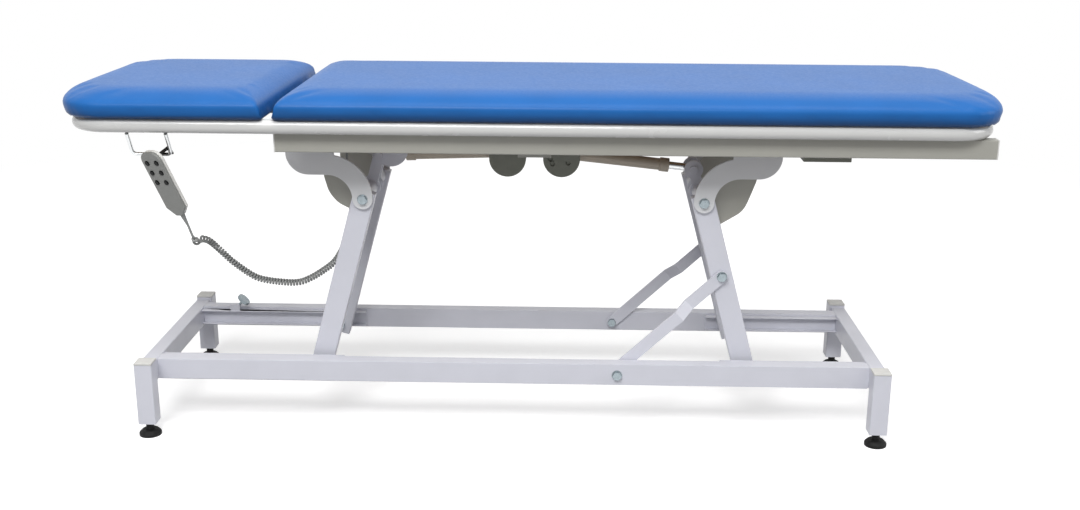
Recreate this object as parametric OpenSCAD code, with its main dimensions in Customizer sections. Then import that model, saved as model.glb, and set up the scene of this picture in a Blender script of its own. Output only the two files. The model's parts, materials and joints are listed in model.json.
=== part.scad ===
// Electric examination couch: a crossed-leg electric lift on a floor frame, with a two-part padded top.
// Origin at the middle of the floor area, +X towards the foot end, -Y towards the handset side, +Z up.

/* [Couch] */
// Length over the cushions
couch_length = 2000; // [1960:10:2060]
// Width over the cushions
couch_width = 620; // [610:5:660]
// Height of the lying surface with the lift raised
top_height = 800; // [780:5:830]

/* [Cushions] */
// Thickness of a cushion with its board
cushion_thickness = 58; // [52:1:66]
// Thickness of the plywood board in a cushion
board_thickness = 12; // [9:1:15]
// How far the board's edge sits inside the cushion's outline
board_inset = 14; // [10:1:20]
// Radius of the cushions' outer corners, seen from above
cushion_corner = 90; // [70:5:110]
// Radius of the cushions' corners at the split, seen from above
split_corner = 20; // [12:1:28]
// Distance of the split from the couch's middle
split_from_middle = 550; // [530:5:580]
// Gap between the two cushions at the bottom of the split
split_gap = 10; // [8:1:14]

/* [Floor frame] */
// Length over the posts
base_length = 1700; // [1680:10:1740]
// Width over the posts
base_width = 540; // [530:5:560]
// How far the floor frame's middle lies towards the head end
base_shift = 39; // [30:1:50]
// Width of a square post
post_size = 40; // [36:1:44]
// Wall of the posts and rails
frame_wall = 2; // [1.5:0.1:3]
// Height of the post tops over the floor
post_top = 180; // [170:5:195]
// Height of the posts' lower ends over the floor
post_bottom = 32; // [28:1:36]
// Thickness of a post cap's rim
post_cap_rim = 5; // [3:0.5:6]
// Depth of a post cap's plug
post_cap_plug = 14; // [10:1:20]
// Thickness of the threaded insert in a post's lower end
post_insert = 12; // [8:1:16]
// Width of a floor rail
rail_width = 35; // [30:1:38]
// Height of a floor rail
rail_height = 50; // [46:1:54]
// How far the rails lie under the post tops
rail_drop = 10; // [6:1:14]
// How far the long rails lie inside the frame's width
rail_inset = 62; // [58:1:66]
// Depth of a roller track, across the couch
track_depth = 20; // [19:0.5:21]
// Height of a roller track
track_height = 37; // [34:1:40]
// Wall of a roller track
track_wall = 3; // [2.5:0.5:4]
// How far a track lies under its rail's top face
track_drop = 5; // [3:1:7]
// Length of the tracks at the head end
head_track_length = 423; // [410:5:440]
// Length of the tracks at the foot end
foot_track_length = 335; // [325:5:345]

/* [Feet] */
// Diameter of a foot's pad
foot_diameter = 50; // [44:1:56]
// Height of a foot's pad
foot_pad_height = 14; // [10:1:18]
// Diameter of a foot's threaded stem
foot_stem = 12; // [10:1:14]
// Length of a foot's stem inside its post
foot_stem_hidden = 30; // [24:1:40]

/* [Lift legs] */
// Distance between the two upper leg pivots
pivot_spacing = 770; // [760:5:780]
// Distance of the pivots' middle from the couch's middle
pivot_middle = 6; // [0:1:12]
// Lean of a leg from upright with the lift raised, in degrees
leg_lean = 15.4; // [14.5:0.1:16.5]
// Depth of a leg tube along the couch
leg_depth = 50; // [46:1:54]
// Width of a leg tube across the couch
leg_width = 30; // [28:1:31]
// Wall of a leg tube
leg_wall = 2; // [1.5:0.1:3]
// Gap between a leg and the roller track beside it
leg_gap = 13; // [12.5:0.5:15]
// Length of a leg tube beyond its roller axle
leg_tail = 20; // [18:1:24]
// Width of a roller
roller_width = 14; // [12:0.5:15]
// Diameter of a roller axle
axle_diameter = 10; // [8:0.5:12]
// Diameter of a pivot bolt
pivot_bolt = 12; // [10:0.5:13]
// Wall of a leg bush
bush_wall = 2; // [1.5:0.5:3]
// Diameter of the torque tube between two legs
torque_tube = 34; // [30:1:36]
// Wall of the torque tube
torque_wall = 3; // [2:0.5:4]
// How far a leg's square end stands over its pivot
leg_crown = 16; // [14:1:18]
// Distance of the head-side crank pin from the pivot, up the leg
head_crank_reach = 78; // [76:1:79]
// Distance of the foot-side crank pin from the pivot, up the leg
foot_crank_reach = 52; // [50:1:56]
// Thickness of a crank plate
crank_plate = 6; // [5:0.5:8]
// Distance of a crank plate from the couch's middle plane
crank_inside = 18; // [17.5:0.5:20]

/* [Links] */
// Place of the links' lower bolts along the couch
link_anchor_x = 202; // [195:1:210]
// Height of the links' lower bolts
link_anchor_z = 144; // [142:1:148]
// Distance of a link's upper bolt from the roller axle, up the leg
link_on_leg = 225.7; // [220:0.1:232]
// Width of a link bar
link_width = 28; // [25:1:32]
// Thickness of a link bar
link_thickness = 6; // [5:0.5:7]

/* [Top frame] */
// Height of the cross bars under the cushions
cross_bar_height = 33; // [33:0.5:35]
// Width of a cross bar
cross_bar_width = 40; // [36:1:44]
// Width of a side rail
side_rail_width = 30; // [26:1:34]
// Height of a side rail
side_rail_height = 42; // [38:1:44]
// Thickness of a side rail's end cap
rail_cap = 3; // [2:0.5:5]
// Width of a bearer rail over the legs
bearer_width = 40; // [38:1:42]
// Height of a bearer rail
bearer_height = 29; // [26:1:32]
// Place of the bearers' foot end along the couch
bearer_end = 600; // [580:5:620]
// Diameter of the bumper tube round the top
tube_diameter = 32; // [30:0.5:33]
// Wall of the bumper tube
tube_wall = 2; // [1.5:0.1:3]
// Distance of the bumper tube's centre line from the cushions' edge
tube_inset = 24; // [22:1:26]
// Radius of the bumper tube's bends, at its centre line
tube_bend = 80; // [72:1:88]
// Height from the leg pivots up to the bearer rails
plate_height = 144; // [140:1:150]
// Thickness of a pivot plate
plate_thickness = 6; // [5:0.5:7]
// Radius of a pivot plate's lug
plate_lug = 23; // [21:0.5:25]
// Inner radius of a pivot plate's bend
plate_bend = 56; // [52:1:60]
// Length of the foot of a pivot plate beyond its bend
plate_foot = 91; // [84:1:98]
// Radius of the lower corner of a pivot plate's foot
plate_corner = 50; // [44:1:54]
// Thickness of a guard plate
guard_thickness = 4; // [3:0.5:5]
// Gap between a guard plate and the leg beside it
guard_gap = 3; // [2:0.5:4]
// Radius of the clearance hole round the pivot in a guard plate
guard_hole = 19; // [18.5:0.5:21]

/* [Actuators] */
// Distance from the pivots' middle to an actuator's rear pin
rear_pin_offset = 30; // [28:1:34]
// Height of the rear pins over the leg pivots
rear_pin_rise = 86; // [80:1:92]
// Diameter of the actuator pins
actuator_pin = 10; // [8:0.5:12]
// Width of a gear housing along the actuator
housing_length = 86; // [80:1:90]
// Thickness of a gear housing across the couch
housing_width = 50; // [46:1:52]
// Diameter of a motor
motor_diameter = 58; // [54:1:60]
// Length of a motor
motor_length = 92; // [80:1:98]
// Diameter of an actuator's outer tube
outer_tube = 28; // [26:0.5:30]
// Wall of an actuator's outer tube
outer_tube_wall = 3; // [2:0.5:3.5]
// Diameter of the collar at an outer tube's end
tube_collar = 33; // [31:0.5:34]
// Length of the collar
collar_length = 22; // [18:1:24]
// Distance from the rear pin to the head-side outer tube's end
head_tube_reach = 272; // [268:1:273]
// Distance from the rear pin to the foot-side outer tube's end
foot_tube_reach = 286; // [280:1:290]
// Diameter of an actuator's rod
rod_diameter = 18; // [14:0.5:20]
// Radius of a rod's eye
rod_eye = 13; // [11:0.5:13.5]
// Width of a rod's eye across the couch
rod_eye_width = 24; // [20:1:30]

/* [Control box] */
// Distance of the control box's middle from the foot end
box_from_end = 330; // [320:1:340]
// Length of the control box
box_length = 108; // [100:1:120]
// Width of the control box
box_width = 200; // [180:5:220]
// Height of the control box
box_height = 57; // [50:1:62]

/* [Head hinge] */
// Distance of the hinges from the couch's middle plane
hinge_y = 170; // [160:5:190]
// Width of a hinge
hinge_width = 60; // [50:1:70]
// Diameter of a hinge knuckle
hinge_knuckle = 10; // [9:0.5:11]
// Diameter of a hinge pin
hinge_pin = 5; // [4:0.5:6]
// Thickness of a hinge leaf
hinge_leaf = 3; // [2:0.5:3.5]
// Length of a moving leaf under the head board
hinge_leaf_length = 60; // [50:1:80]

/* [Handset] */
// Distance of the handset's middle from the head end
handset_from_end = 211; // [200:1:220]
// Length of the handset
handset_length = 160; // [150:1:166]
// Width of the handset
handset_width = 58; // [54:1:62]
// Thickness of the handset
handset_thickness = 14; // [12:0.5:16]
// Wall of the handset's shells
handset_wall = 2; // [1.5:0.1:2.5]
// Radius of the handset's corners
handset_corner = 22; // [16:0.5:24]
// How far the handset's two lower corners are cut off
handset_taper = 20; // [14:0.5:20]
// Diameter of a button
button_diameter = 11; // [9:0.5:12]
// How far a button stands out of the handset
button_height = 2; // [1.5:0.1:3]
// Distance between the two columns of buttons
button_column = 29; // [26:0.5:30]
// Distance between the rows of buttons
button_row = 24.3; // [22:0.1:25]
// Diameter of the hanger's wire
hanger_wire = 8; // [7:0.5:9]
// Width of the hanger, between its wires' centre lines
hanger_width = 83; // [80:1:88]
// Depth of the hanger under the bumper tube
hanger_depth = 50; // [48:1:52]
// Outer diameter of the curly cord's curls
curl_diameter = 15; // [13:0.5:15]
// Diameter of the cord itself
cord_diameter = 3.6; // [3.2:0.1:4]

/* [Clamp knob] */
// Distance of the clamp knob from the head end of its track
knob_from_end = 82; // [75:1:90]
// Diameter of the clamp knob's head
knob_head = 34; // [30:1:36]
// Diameter of the clamp knob's stem
knob_stem = 6; // [5:0.5:8]

/* [Hidden] */
$fn = 48;

// Colours
frame_white = [0.90, 0.91, 0.93];
tube_white = [0.95, 0.95, 0.95];
zinc = [0.70, 0.72, 0.73];
black_rubber = [0.05, 0.05, 0.05];
cap_white = [0.86, 0.87, 0.88];
couch_blue = [0.15, 0.36, 0.72];
plywood = [0.72, 0.58, 0.40];
housing_grey = [0.42, 0.43, 0.39];
tube_grey = [0.60, 0.57, 0.53];
steel_grey = [0.55, 0.56, 0.56];
handset_grey = [0.53, 0.53, 0.52];
cord_grey = [0.28, 0.29, 0.31];

// Clearances
fit_gap = 0.3;
run_gap = 0.05;
overrun = 1;

// Small sizes that several pieces share
nut_height = 9.5;
bolt_head_height = 8;
bolt_head_flats = 19;
axle_nut_flats = 17;
washer_diameter = 24;

// Heights, from the lying surface down
pad_bottom = top_height - cushion_thickness;
frame_top = pad_bottom - cross_bar_height;
bearer_bottom = frame_top - bearer_height;
side_rail_bottom = frame_top - side_rail_height;
pivot_z = bearer_bottom - plate_height;
tube_rest_gap = 0.5;
tube_z = pad_bottom - tube_rest_gap - tube_diameter / 2;

// Heights, from the floor up
rail_top = post_top - rail_drop;
rail_bottom = rail_top - rail_height;
track_top = rail_top - track_drop;
track_bottom = track_top - track_height;
roller_z = track_bottom + track_height / 2;
roller_diameter = track_height - 2 * (track_wall + fit_gap);

// Places along the couch
base_head_x = -base_length / 2 - base_shift;
base_foot_x = base_length / 2 - base_shift;
rail_head_x = base_head_x + rail_width;
rail_foot_x = base_foot_x - rail_width;
split_x = -split_from_middle;
box_x = couch_length / 2 - box_from_end;
right_pivot_x = pivot_middle + pivot_spacing / 2;
left_pivot_x = pivot_middle - pivot_spacing / 2;
leg_length = (pivot_z - roller_z) / cos(leg_lean);
right_roller_x = right_pivot_x + leg_length * sin(leg_lean);
left_roller_x = left_pivot_x - leg_length * sin(leg_lean);

// Places across the couch
rail_outside = base_width / 2 - rail_inset;
rail_inside = rail_outside - rail_width;
track_inside = rail_inside - track_depth;
leg_outside = track_inside - leg_gap;
leg_inside = leg_outside - leg_width;
guard_inside = leg_inside - guard_gap - guard_thickness;
plate_gap = 2;
plate_inside = leg_outside + plate_gap;
plate_outside = plate_inside + plate_thickness;
roller_side_gap = 1;
roller_outside = rail_inside - track_wall - roller_side_gap;
roller_inside = roller_outside - roller_width;
bearer_middle = (plate_inside + plate_outside) / 2;
tube_y = couch_width / 2 - tube_inset;
tube_x = couch_length / 2 - tube_inset;
tube_inside = tube_y - tube_diameter / 2;
side_rail_outside = tube_inside;
side_rail_inside = side_rail_outside - side_rail_width;

// Helpers

// A box between two opposite corners
module block(low, high) {
    translate(low) cube(high - low);
}

// The children and their mirror image on the other side of the couch
module both_sides() {
    children();
    mirror([0, 1, 0]) children();
}

// The children in the plane of a leg, drawn from its roller axle up, leaning by an angle
module on_leg(x, lean) {
    translate([x, 0, roller_z]) rotate([0, lean, 0]) children();
}

// A round bar across the couch
module bar_across(x, z, y0, y1, d) {
    translate([x, y0, z]) rotate([-90, 0, 0]) cylinder(d = d, h = y1 - y0);
}

// A ring across the couch
module ring_across(x, z, y0, y1, d, hole) {
    difference() {
        bar_across(x, z, y0, y1, d);
        bar_across(x, z, y0 - overrun, y1 + overrun, hole);
    }
}

// A hexagon across the couch, by its width over flats
module hex_across(x, z, y0, y1, flats) {
    translate([x, y0, z]) rotate([-90, 0, 0]) cylinder(d = flats / cos(30), h = y1 - y0, $fn = 6);
}

// A flat outline in X and Z, made a plate between two places across the couch
module plate_across(y0, y1) {
    translate([0, y1, 0]) rotate([90, 0, 0]) linear_extrude(y1 - y0) children();
}

// A rectangle between two opposite corners
module rectangle(low, high) {
    translate(low) square(high - low);
}

// A round bar between two points
module bar_between(a, b, d) {
    run = b - a;
    flat = norm([run.x, run.y]);
    translate(a) rotate([0, atan2(flat, run.z), atan2(run.y, run.x)]) cylinder(d = d, h = norm(run));
}

// A rectangular tube along the couch
module tube_along(low, high, wall) {
    difference() {
        block(low, high);
        block(low + [-overrun, wall, wall], high + [overrun, -wall, -wall]);
    }
}

// A rectangular tube across the couch
module tube_across(low, high, wall) {
    difference() {
        block(low, high);
        block(low + [wall, -overrun, wall], high + [-wall, overrun, -wall]);
    }
}

// A rectangle with round corners, about the origin
module round_rectangle(wide, high, corner) {
    square([wide - 2 * corner, high], center = true);
    square([wide, high - 2 * corner], center = true);
    for (x = [-1, 1], y = [-1, 1])
        translate([x * (wide / 2 - corner), y * (high / 2 - corner)]) circle(r = corner);
}

// Triangles between rings of points that are swept one after another
function band_faces(rings, sides) = concat(
    [for (r = [0 : rings - 2], i = [0 : sides - 1])
        [r * sides + i, (r + 1) * sides + i, r * sides + (i + 1) % sides]],
    [for (r = [0 : rings - 2], i = [0 : sides - 1])
        [(r + 1) * sides + i, (r + 1) * sides + (i + 1) % sides, r * sides + (i + 1) % sides]]
);

// A swept tube's triangles, with both ends closed
function swept_faces(rings, sides) = let (end = (rings - 1) * sides) concat(
    [for (i = [1 : sides - 2]) [0, i, i + 1]],
    band_faces(rings, sides),
    [for (i = [1 : sides - 2]) [end, end + i + 1, end + i]]
);

// The same, closed by two middle points that follow the rings in the list of points
function capped_faces(rings, sides) = let (end = (rings - 1) * sides, first = rings * sides) concat(
    [for (i = [0 : sides - 1]) [first, i, (i + 1) % sides]],
    band_faces(rings, sides),
    [for (i = [0 : sides - 1]) [first + 1, end + (i + 1) % sides, end + i]]
);

// Floor frame

post_x = [base_head_x + post_size / 2, base_foot_x - post_size / 2];
post_y = base_width / 2 - post_size / 2;
foot_hole = foot_stem + 2 * run_gap;

module base_posts() {
    color(frame_white) for (x = post_x, y = [-post_y, post_y]) translate([x, y, 0]) difference() {
        block([-post_size / 2, -post_size / 2, post_bottom],
              [post_size / 2, post_size / 2, post_top - post_cap_rim]);
        block([frame_wall - post_size / 2, frame_wall - post_size / 2, post_bottom + post_insert],
              [post_size / 2 - frame_wall, post_size / 2 - frame_wall, post_top]);
        translate([0, 0, post_bottom - overrun]) cylinder(d = foot_hole, h = post_insert + 2 * overrun);
    }
}

module post_caps() {
    plug = post_size / 2 - frame_wall - fit_gap;
    color(cap_white) for (x = post_x, y = [-post_y, post_y]) translate([x, y, post_top - post_cap_rim]) {
        block([-post_size / 2, -post_size / 2, 0], [post_size / 2, post_size / 2, post_cap_rim]);
        block([-plug, -plug, -post_cap_plug], [plug, plug, 0]);
    }
}

module base_rails() {
    bolt_hole = pivot_bolt + 2 * run_gap;
    color(frame_white) {
        both_sides() difference() {
            tube_along([rail_head_x + run_gap, rail_inside, rail_bottom],
                       [rail_foot_x - run_gap, rail_outside, rail_top], frame_wall);
            bar_across(link_anchor_x, link_anchor_z, rail_inside - overrun, rail_outside + overrun, bolt_hole);
        }
        for (x = [base_head_x, rail_foot_x])
            tube_across([x, post_size - base_width / 2, rail_bottom],
                        [x + rail_width, base_width / 2 - post_size, rail_top], frame_wall);
    }
}

knob_lean = 43;
knob_seat = 16;
knob_stem_length = 34;
knob_head_height = 8;
knob_y = (track_inside + rail_inside) / 2;
knob_x = rail_head_x + knob_from_end;

// The children on the clamp knob's leaning axis, from its seat up
module on_knob_axis() {
    translate([knob_x, knob_y, track_top]) rotate([0, knob_lean, 0]) children();
}

module roller_tracks() {
    color(frame_white) {
        both_sides() for (span = [[rail_head_x, rail_head_x + head_track_length],
                                  [rail_foot_x - foot_track_length, rail_foot_x]])
            difference() {
                block([span[0], track_inside, track_bottom], [span[1], rail_inside, track_top]);
                block([span[0] - overrun, track_inside - overrun, track_bottom + track_wall],
                      [span[1] + overrun, rail_inside - track_wall, track_top - track_wall]);
            }
        difference() {
            block([knob_x - knob_seat / 2, knob_y - knob_seat / 2, track_top],
                  [knob_x + knob_seat, knob_y + knob_seat / 2, track_top + knob_seat]);
            on_knob_axis() translate([0, 0, knob_stem / 2]) cylinder(d = knob_stem + 2 * run_gap, h = 2 * knob_seat);
        }
    }
}

module clamp_knob() {
    color(zinc) on_knob_axis() {
        translate([0, 0, knob_stem]) cylinder(d = knob_stem, h = knob_stem_length);
        translate([0, 0, knob_stem_length - knob_stem / 2]) cylinder(d1 = 2 * knob_stem, d2 = knob_head, h = knob_stem / 2);
        translate([0, 0, knob_stem_length]) cylinder(d = knob_head, h = knob_head_height);
    }
}

module link_base_bolts() {
    link_outside = rail_inside - plate_gap;
    link_inside = link_outside - link_thickness;
    color(zinc) both_sides() {
        bar_across(link_anchor_x, link_anchor_z, link_inside - nut_height, rail_outside + bolt_head_height, pivot_bolt);
        hex_across(link_anchor_x, link_anchor_z, rail_outside + plate_gap / 2, rail_outside + bolt_head_height,
                   bolt_head_flats);
        ring_across(link_anchor_x, link_anchor_z, rail_outside, rail_outside + plate_gap / 2,
                    washer_diameter, pivot_bolt);
        hex_across(link_anchor_x, link_anchor_z, link_inside - fit_gap - nut_height, link_inside - fit_gap,
                   bolt_head_flats);
    }
}

module foot(x, y) {
    neck = foot_stem * 0.75;
    color(black_rubber) translate([x, y, 0]) {
        rotate_extrude() polygon([
            [0, 0],
            [foot_diameter / 2, 0],
            [foot_diameter / 2, foot_pad_height / 2],
            [foot_diameter * 0.36, foot_pad_height],
            [neck, foot_pad_height],
            [neck, post_bottom - fit_gap],
            [foot_stem / 2, post_bottom - fit_gap],
            [foot_stem / 2, post_bottom + foot_stem_hidden],
            [0, post_bottom + foot_stem_hidden]
        ]);
    }
}

// Links between the floor frame and the foot-side legs

link_top_x = right_roller_x - link_on_leg * sin(leg_lean);
link_top_z = roller_z + link_on_leg * cos(leg_lean);
link_run = [link_top_x - link_anchor_x, link_top_z - link_anchor_z];
link_length = norm(link_run);
link_slope = atan2(link_run.y, link_run.x);
joggle_start_share = 0.59;
joggle_end_share = 0.69;

module links() {
    low_y = rail_inside - plate_gap - link_thickness;
    high_y = plate_inside;
    start = link_length * joggle_start_share;
    end = link_length * joggle_end_share;
    skew = link_thickness * tan(atan2(low_y - high_y, end - start) / 2);
    bolt_hole = pivot_bolt + 2 * run_gap;
    color(frame_white) both_sides() translate([link_anchor_x, 0, link_anchor_z]) rotate([0, -link_slope, 0])
        difference() {
            union() {
                translate([0, 0, -link_width / 2]) linear_extrude(link_width) polygon([
                    [0, low_y],
                    [start, low_y],
                    [end, high_y],
                    [link_length, high_y],
                    [link_length, high_y + link_thickness],
                    [end + skew, high_y + link_thickness],
                    [start + skew, low_y + link_thickness],
                    [0, low_y + link_thickness]
                ]);
                bar_across(0, 0, low_y, low_y + link_thickness, link_width);
                bar_across(link_length, 0, high_y, high_y + link_thickness, link_width);
            }
            bar_across(0, 0, low_y - overrun, low_y + link_thickness + overrun, bolt_hole);
            bar_across(link_length, 0, high_y - overrun, high_y + link_thickness + overrun, bolt_hole);
        }
}

module link_bolts() {
    outside = plate_inside + link_thickness;
    color(zinc) both_sides() {
        bar_across(link_top_x, link_top_z, leg_outside + fit_gap, outside + plate_gap / 2, pivot_bolt);
        hex_across(link_top_x, link_top_z, outside + plate_gap / 2, outside + bolt_head_height, bolt_head_flats);
        ring_across(link_top_x, link_top_z, outside, outside + plate_gap / 2, washer_diameter, pivot_bolt);
    }
}

// Legs, drawn on the foot side and leaning the other way on the head side

module leg_pair(x, lean) {
    bush_hole = [axle_diameter + 2 * bush_wall, pivot_bolt + 2 * bush_wall];
    top = leg_length + leg_crown;
    color(frame_white) on_leg(x, lean) both_sides() difference() {
        block([-leg_depth / 2, leg_inside, -leg_tail], [leg_depth / 2, leg_outside, top]);
        block([leg_wall - leg_depth / 2, leg_inside + leg_wall, leg_wall - leg_tail],
              [leg_depth / 2 - leg_wall, leg_outside - leg_wall, top - leg_wall]);
        for (end = [0, 1])
            bar_across(0, end * leg_length, leg_inside - overrun, leg_outside + overrun,
                       bush_hole[end] + 2 * run_gap);
    }
}

module leg_bushes(x, lean) {
    shaft = [axle_diameter, pivot_bolt];
    color(steel_grey) on_leg(x, lean) both_sides() for (end = [0, 1])
        ring_across(0, end * leg_length, leg_inside, leg_outside, shaft[end] + 2 * bush_wall,
                    shaft[end] + 2 * run_gap);
}

module axles(x) {
    color(zinc) both_sides() {
        bar_across(x, roller_z, leg_inside - nut_height, roller_outside + roller_side_gap / 2, axle_diameter);
        hex_across(x, roller_z, leg_inside - fit_gap - nut_height, leg_inside - fit_gap, axle_nut_flats);
        ring_across(x, roller_z, leg_outside + fit_gap, roller_inside - fit_gap,
                    axle_diameter + 2 * track_wall, axle_diameter);
    }
}

module rollers(x) {
    color(steel_grey) both_sides() ring_across(x, roller_z, roller_inside, roller_outside, roller_diameter,
                                               axle_diameter + 2 * run_gap);
}

// Place of each crank plate's lobe, across and up the leg from its pivot, and its radius
head_crank_lobe = [23, 101];
head_crank_lobe_radius = 41;
foot_crank_lobe = [0, foot_crank_reach];
foot_crank_lobe_radius = 22;
crank_arm = 13;

// The torque tube on the pivot's axis with its two crank plates
module crank_tube(x, lean, reach, lobe, lobe_radius) {
    outside = crank_inside + crank_plate;
    color(frame_white) on_leg(x, lean) translate([0, 0, leg_length]) difference() {
        union() {
            bar_across(0, 0, -leg_inside, leg_inside, torque_tube);
            both_sides() bar_across(0, reach, outside, outside + crank_plate, 2 * actuator_pin);
            both_sides() plate_across(crank_inside, outside) {
                circle(r = torque_tube / 2 + crank_plate);
                rectangle([-crank_arm, 0], [crank_arm, reach]);
                translate([0, reach]) circle(r = crank_arm);
                translate(lobe) circle(r = lobe_radius);
            }
        }
        bar_across(0, 0, -leg_inside - overrun, leg_inside + overrun, torque_tube - 2 * torque_wall);
    }
}

// Top frame

tube_straight_x = tube_x - tube_bend;
tube_straight_y = tube_y - tube_bend;

// The bumper tube's ring section
module tube_section() {
    difference() {
        circle(d = tube_diameter);
        circle(d = tube_diameter - 2 * tube_wall);
    }
}

module frame_tubes() {
    color(tube_white) translate([0, 0, tube_z]) {
        for (y = [-tube_y, tube_y])
            translate([-tube_straight_x, y, 0]) rotate([0, 90, 0]) linear_extrude(2 * tube_straight_x) tube_section();
        for (x = [-tube_x, tube_x])
            translate([x, tube_straight_y, 0]) rotate([90, 0, 0]) linear_extrude(2 * tube_straight_y) tube_section();
    }
}

module frame_corner_bends() {
    color(tube_white) for (x = [0, 1], y = [0, 1]) mirror([x, 0, 0]) mirror([0, y, 0])
        translate([tube_straight_x, tube_straight_y, tube_z])
            rotate_extrude(angle = 90) translate([tube_bend, 0]) tube_section();
}

side_rail_head_x = split_x + split_gap / 2;
side_rail_foot_x = tube_x + tube_diameter / 2;

module side_rails() {
    color(frame_white) both_sides()
        tube_along([side_rail_head_x + rail_cap, side_rail_inside, side_rail_bottom],
                   [side_rail_foot_x - rail_cap, side_rail_outside, frame_top], frame_wall);
}

module rail_end_caps() {
    plug = rail_cap * 3;
    plug_inset = frame_wall + fit_gap;
    color(cap_white) both_sides() for (end = [0, 1]) {
        x = [side_rail_head_x, side_rail_foot_x - rail_cap][end];
        plug_x = [side_rail_head_x + rail_cap, side_rail_foot_x - rail_cap - plug][end];
        block([x, side_rail_inside, side_rail_bottom], [x + rail_cap, side_rail_outside, frame_top]);
        block([plug_x, side_rail_inside + plug_inset, side_rail_bottom + plug_inset],
              [plug_x + plug, side_rail_outside - plug_inset, frame_top - plug_inset]);
    }
}

module bearer_rails() {
    color(frame_white) both_sides()
        tube_along([side_rail_head_x, bearer_middle - bearer_width / 2, bearer_bottom],
                   [bearer_end, bearer_middle + bearer_width / 2, frame_top], frame_wall);
}

guard_bar_offset = 40;
head_bar_from_split = 210;
hinge_bar_face = split_x + hinge_knuckle / 2 + fit_gap + hinge_leaf;
cross_bar_places = [
    split_x - head_bar_from_split,
    hinge_bar_face + cross_bar_width / 2,
    left_pivot_x - guard_bar_offset,
    pivot_middle,
    right_pivot_x + guard_bar_offset,
    box_x,
    tube_straight_x - cross_bar_width / 2
];

module cross_bars() {
    reach = tube_inside - fit_gap;
    color(frame_white) for (x = cross_bar_places)
        tube_across([x - cross_bar_width / 2, -reach, frame_top],
                    [x + cross_bar_width / 2, reach, pad_bottom], frame_wall);
}

rear_pin_z = pivot_z + rear_pin_rise;
lug_thickness = 5;
lug_gap = 2;
lug_rim = 9;

module actuator_lugs() {
    inside = housing_width / 2 + lug_gap;
    outside = inside + lug_thickness;
    color(frame_white) both_sides() difference() {
        block([pivot_middle - rear_pin_offset - lug_rim, inside, rear_pin_z - lug_rim],
              [pivot_middle + rear_pin_offset + lug_rim, outside, frame_top]);
        for (side = [-1, 1])
            bar_across(pivot_middle + side * rear_pin_offset, rear_pin_z, inside - overrun, outside + overrun,
                       actuator_pin + 2 * run_gap);
    }
    color(zinc) for (side = [-1, 1]) {
        x = pivot_middle + side * rear_pin_offset;
        bar_across(x, rear_pin_z, -outside - lug_gap, outside + lug_gap, actuator_pin);
        both_sides() ring_across(x, rear_pin_z, outside, outside + lug_gap, actuator_pin + 2 * lug_gap, actuator_pin);
    }
}

plate_shoulder = 18;
plate_shoulder_height = 44;

// One pivot plate's outline, from its pivot up and outwards
module pivot_plate_outline() {
    bend_middle = plate_bend + plate_lug;
    bend_outside = plate_bend + 2 * plate_lug;
    foot_end = bend_middle + plate_foot;
    circle(r = plate_lug);
    intersection() {
        translate([bend_middle, 0]) difference() {
            circle(r = bend_outside);
            circle(r = plate_bend);
        }
        rectangle([bend_middle - bend_outside, 0], [bend_middle, bend_outside]);
    }
    rectangle([bend_middle, plate_bend], [foot_end - plate_corner, plate_height]);
    rectangle([bend_middle, plate_bend + plate_corner], [foot_end, plate_height]);
    intersection() {
        translate([foot_end - plate_corner, plate_bend + plate_corner]) circle(r = plate_corner);
        rectangle([foot_end - plate_corner, plate_bend], [foot_end, plate_height]);
    }
    rectangle([bend_middle - plate_shoulder, plate_height - plate_shoulder_height], [bend_middle, plate_height]);
}

module pivot_plates() {
    color(frame_white) both_sides() for (side = [0, 1])
        translate([[left_pivot_x, right_pivot_x][side], 0, pivot_z]) mirror([1 - side, 0, 0]) difference() {
            plate_across(plate_inside, plate_outside) pivot_plate_outline();
            bar_across(0, 0, plate_inside - overrun, plate_outside + overrun, pivot_bolt + 2 * run_gap);
        }
}

// Lower edges of the guard plates, outwards and up from the pivot
head_guard_edge = [
    [93, 120], [93, 43], [85, 14], [79.5, 3], [71.7, -7.4], [64.5, -15.2], [55.9, -21.5], [42.1, -28.5], [20, -39],
    [-20, -39], [-20, 120]
];
foot_guard_edge = [
    [121, 120], [121, 44], [110, 13], [102, -8], [97.5, -17.6], [91, -27], [82.2, -34.7], [46, -57], [24, -70.4],
    [-20, -70.4], [-20, 120]
];
guard_stems = [70, 82];
guard_middle = [87, -10];
guard_reach = 92;

// One guard plate's outline: a lobe behind the pivot plate's hollow, and a stem up to its cross bar
module guard_outline(side) {
    edge = [head_guard_edge, foot_guard_edge][side];
    top = frame_top - pivot_z;
    shoulder = plate_height - guard_stem_overlap;
    intersection() {
        polygon(edge);
        translate(guard_middle) circle(r = guard_reach);
    }
    rectangle([guard_stems[side], edge[1].y], [edge[0].x, top]);
    rectangle([guard_bar_offset - cross_bar_width / 2, shoulder], [edge[0].x, top]);
}

guard_stem_overlap = 33;

module guard_plates() {
    color(housing_grey) both_sides() for (side = [0, 1])
        translate([[left_pivot_x, right_pivot_x][side], 0, pivot_z]) mirror([1 - side, 0, 0])
            plate_across(guard_inside, guard_inside + guard_thickness) difference() {
                guard_outline(side);
                circle(r = guard_hole);
            }
}

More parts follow.
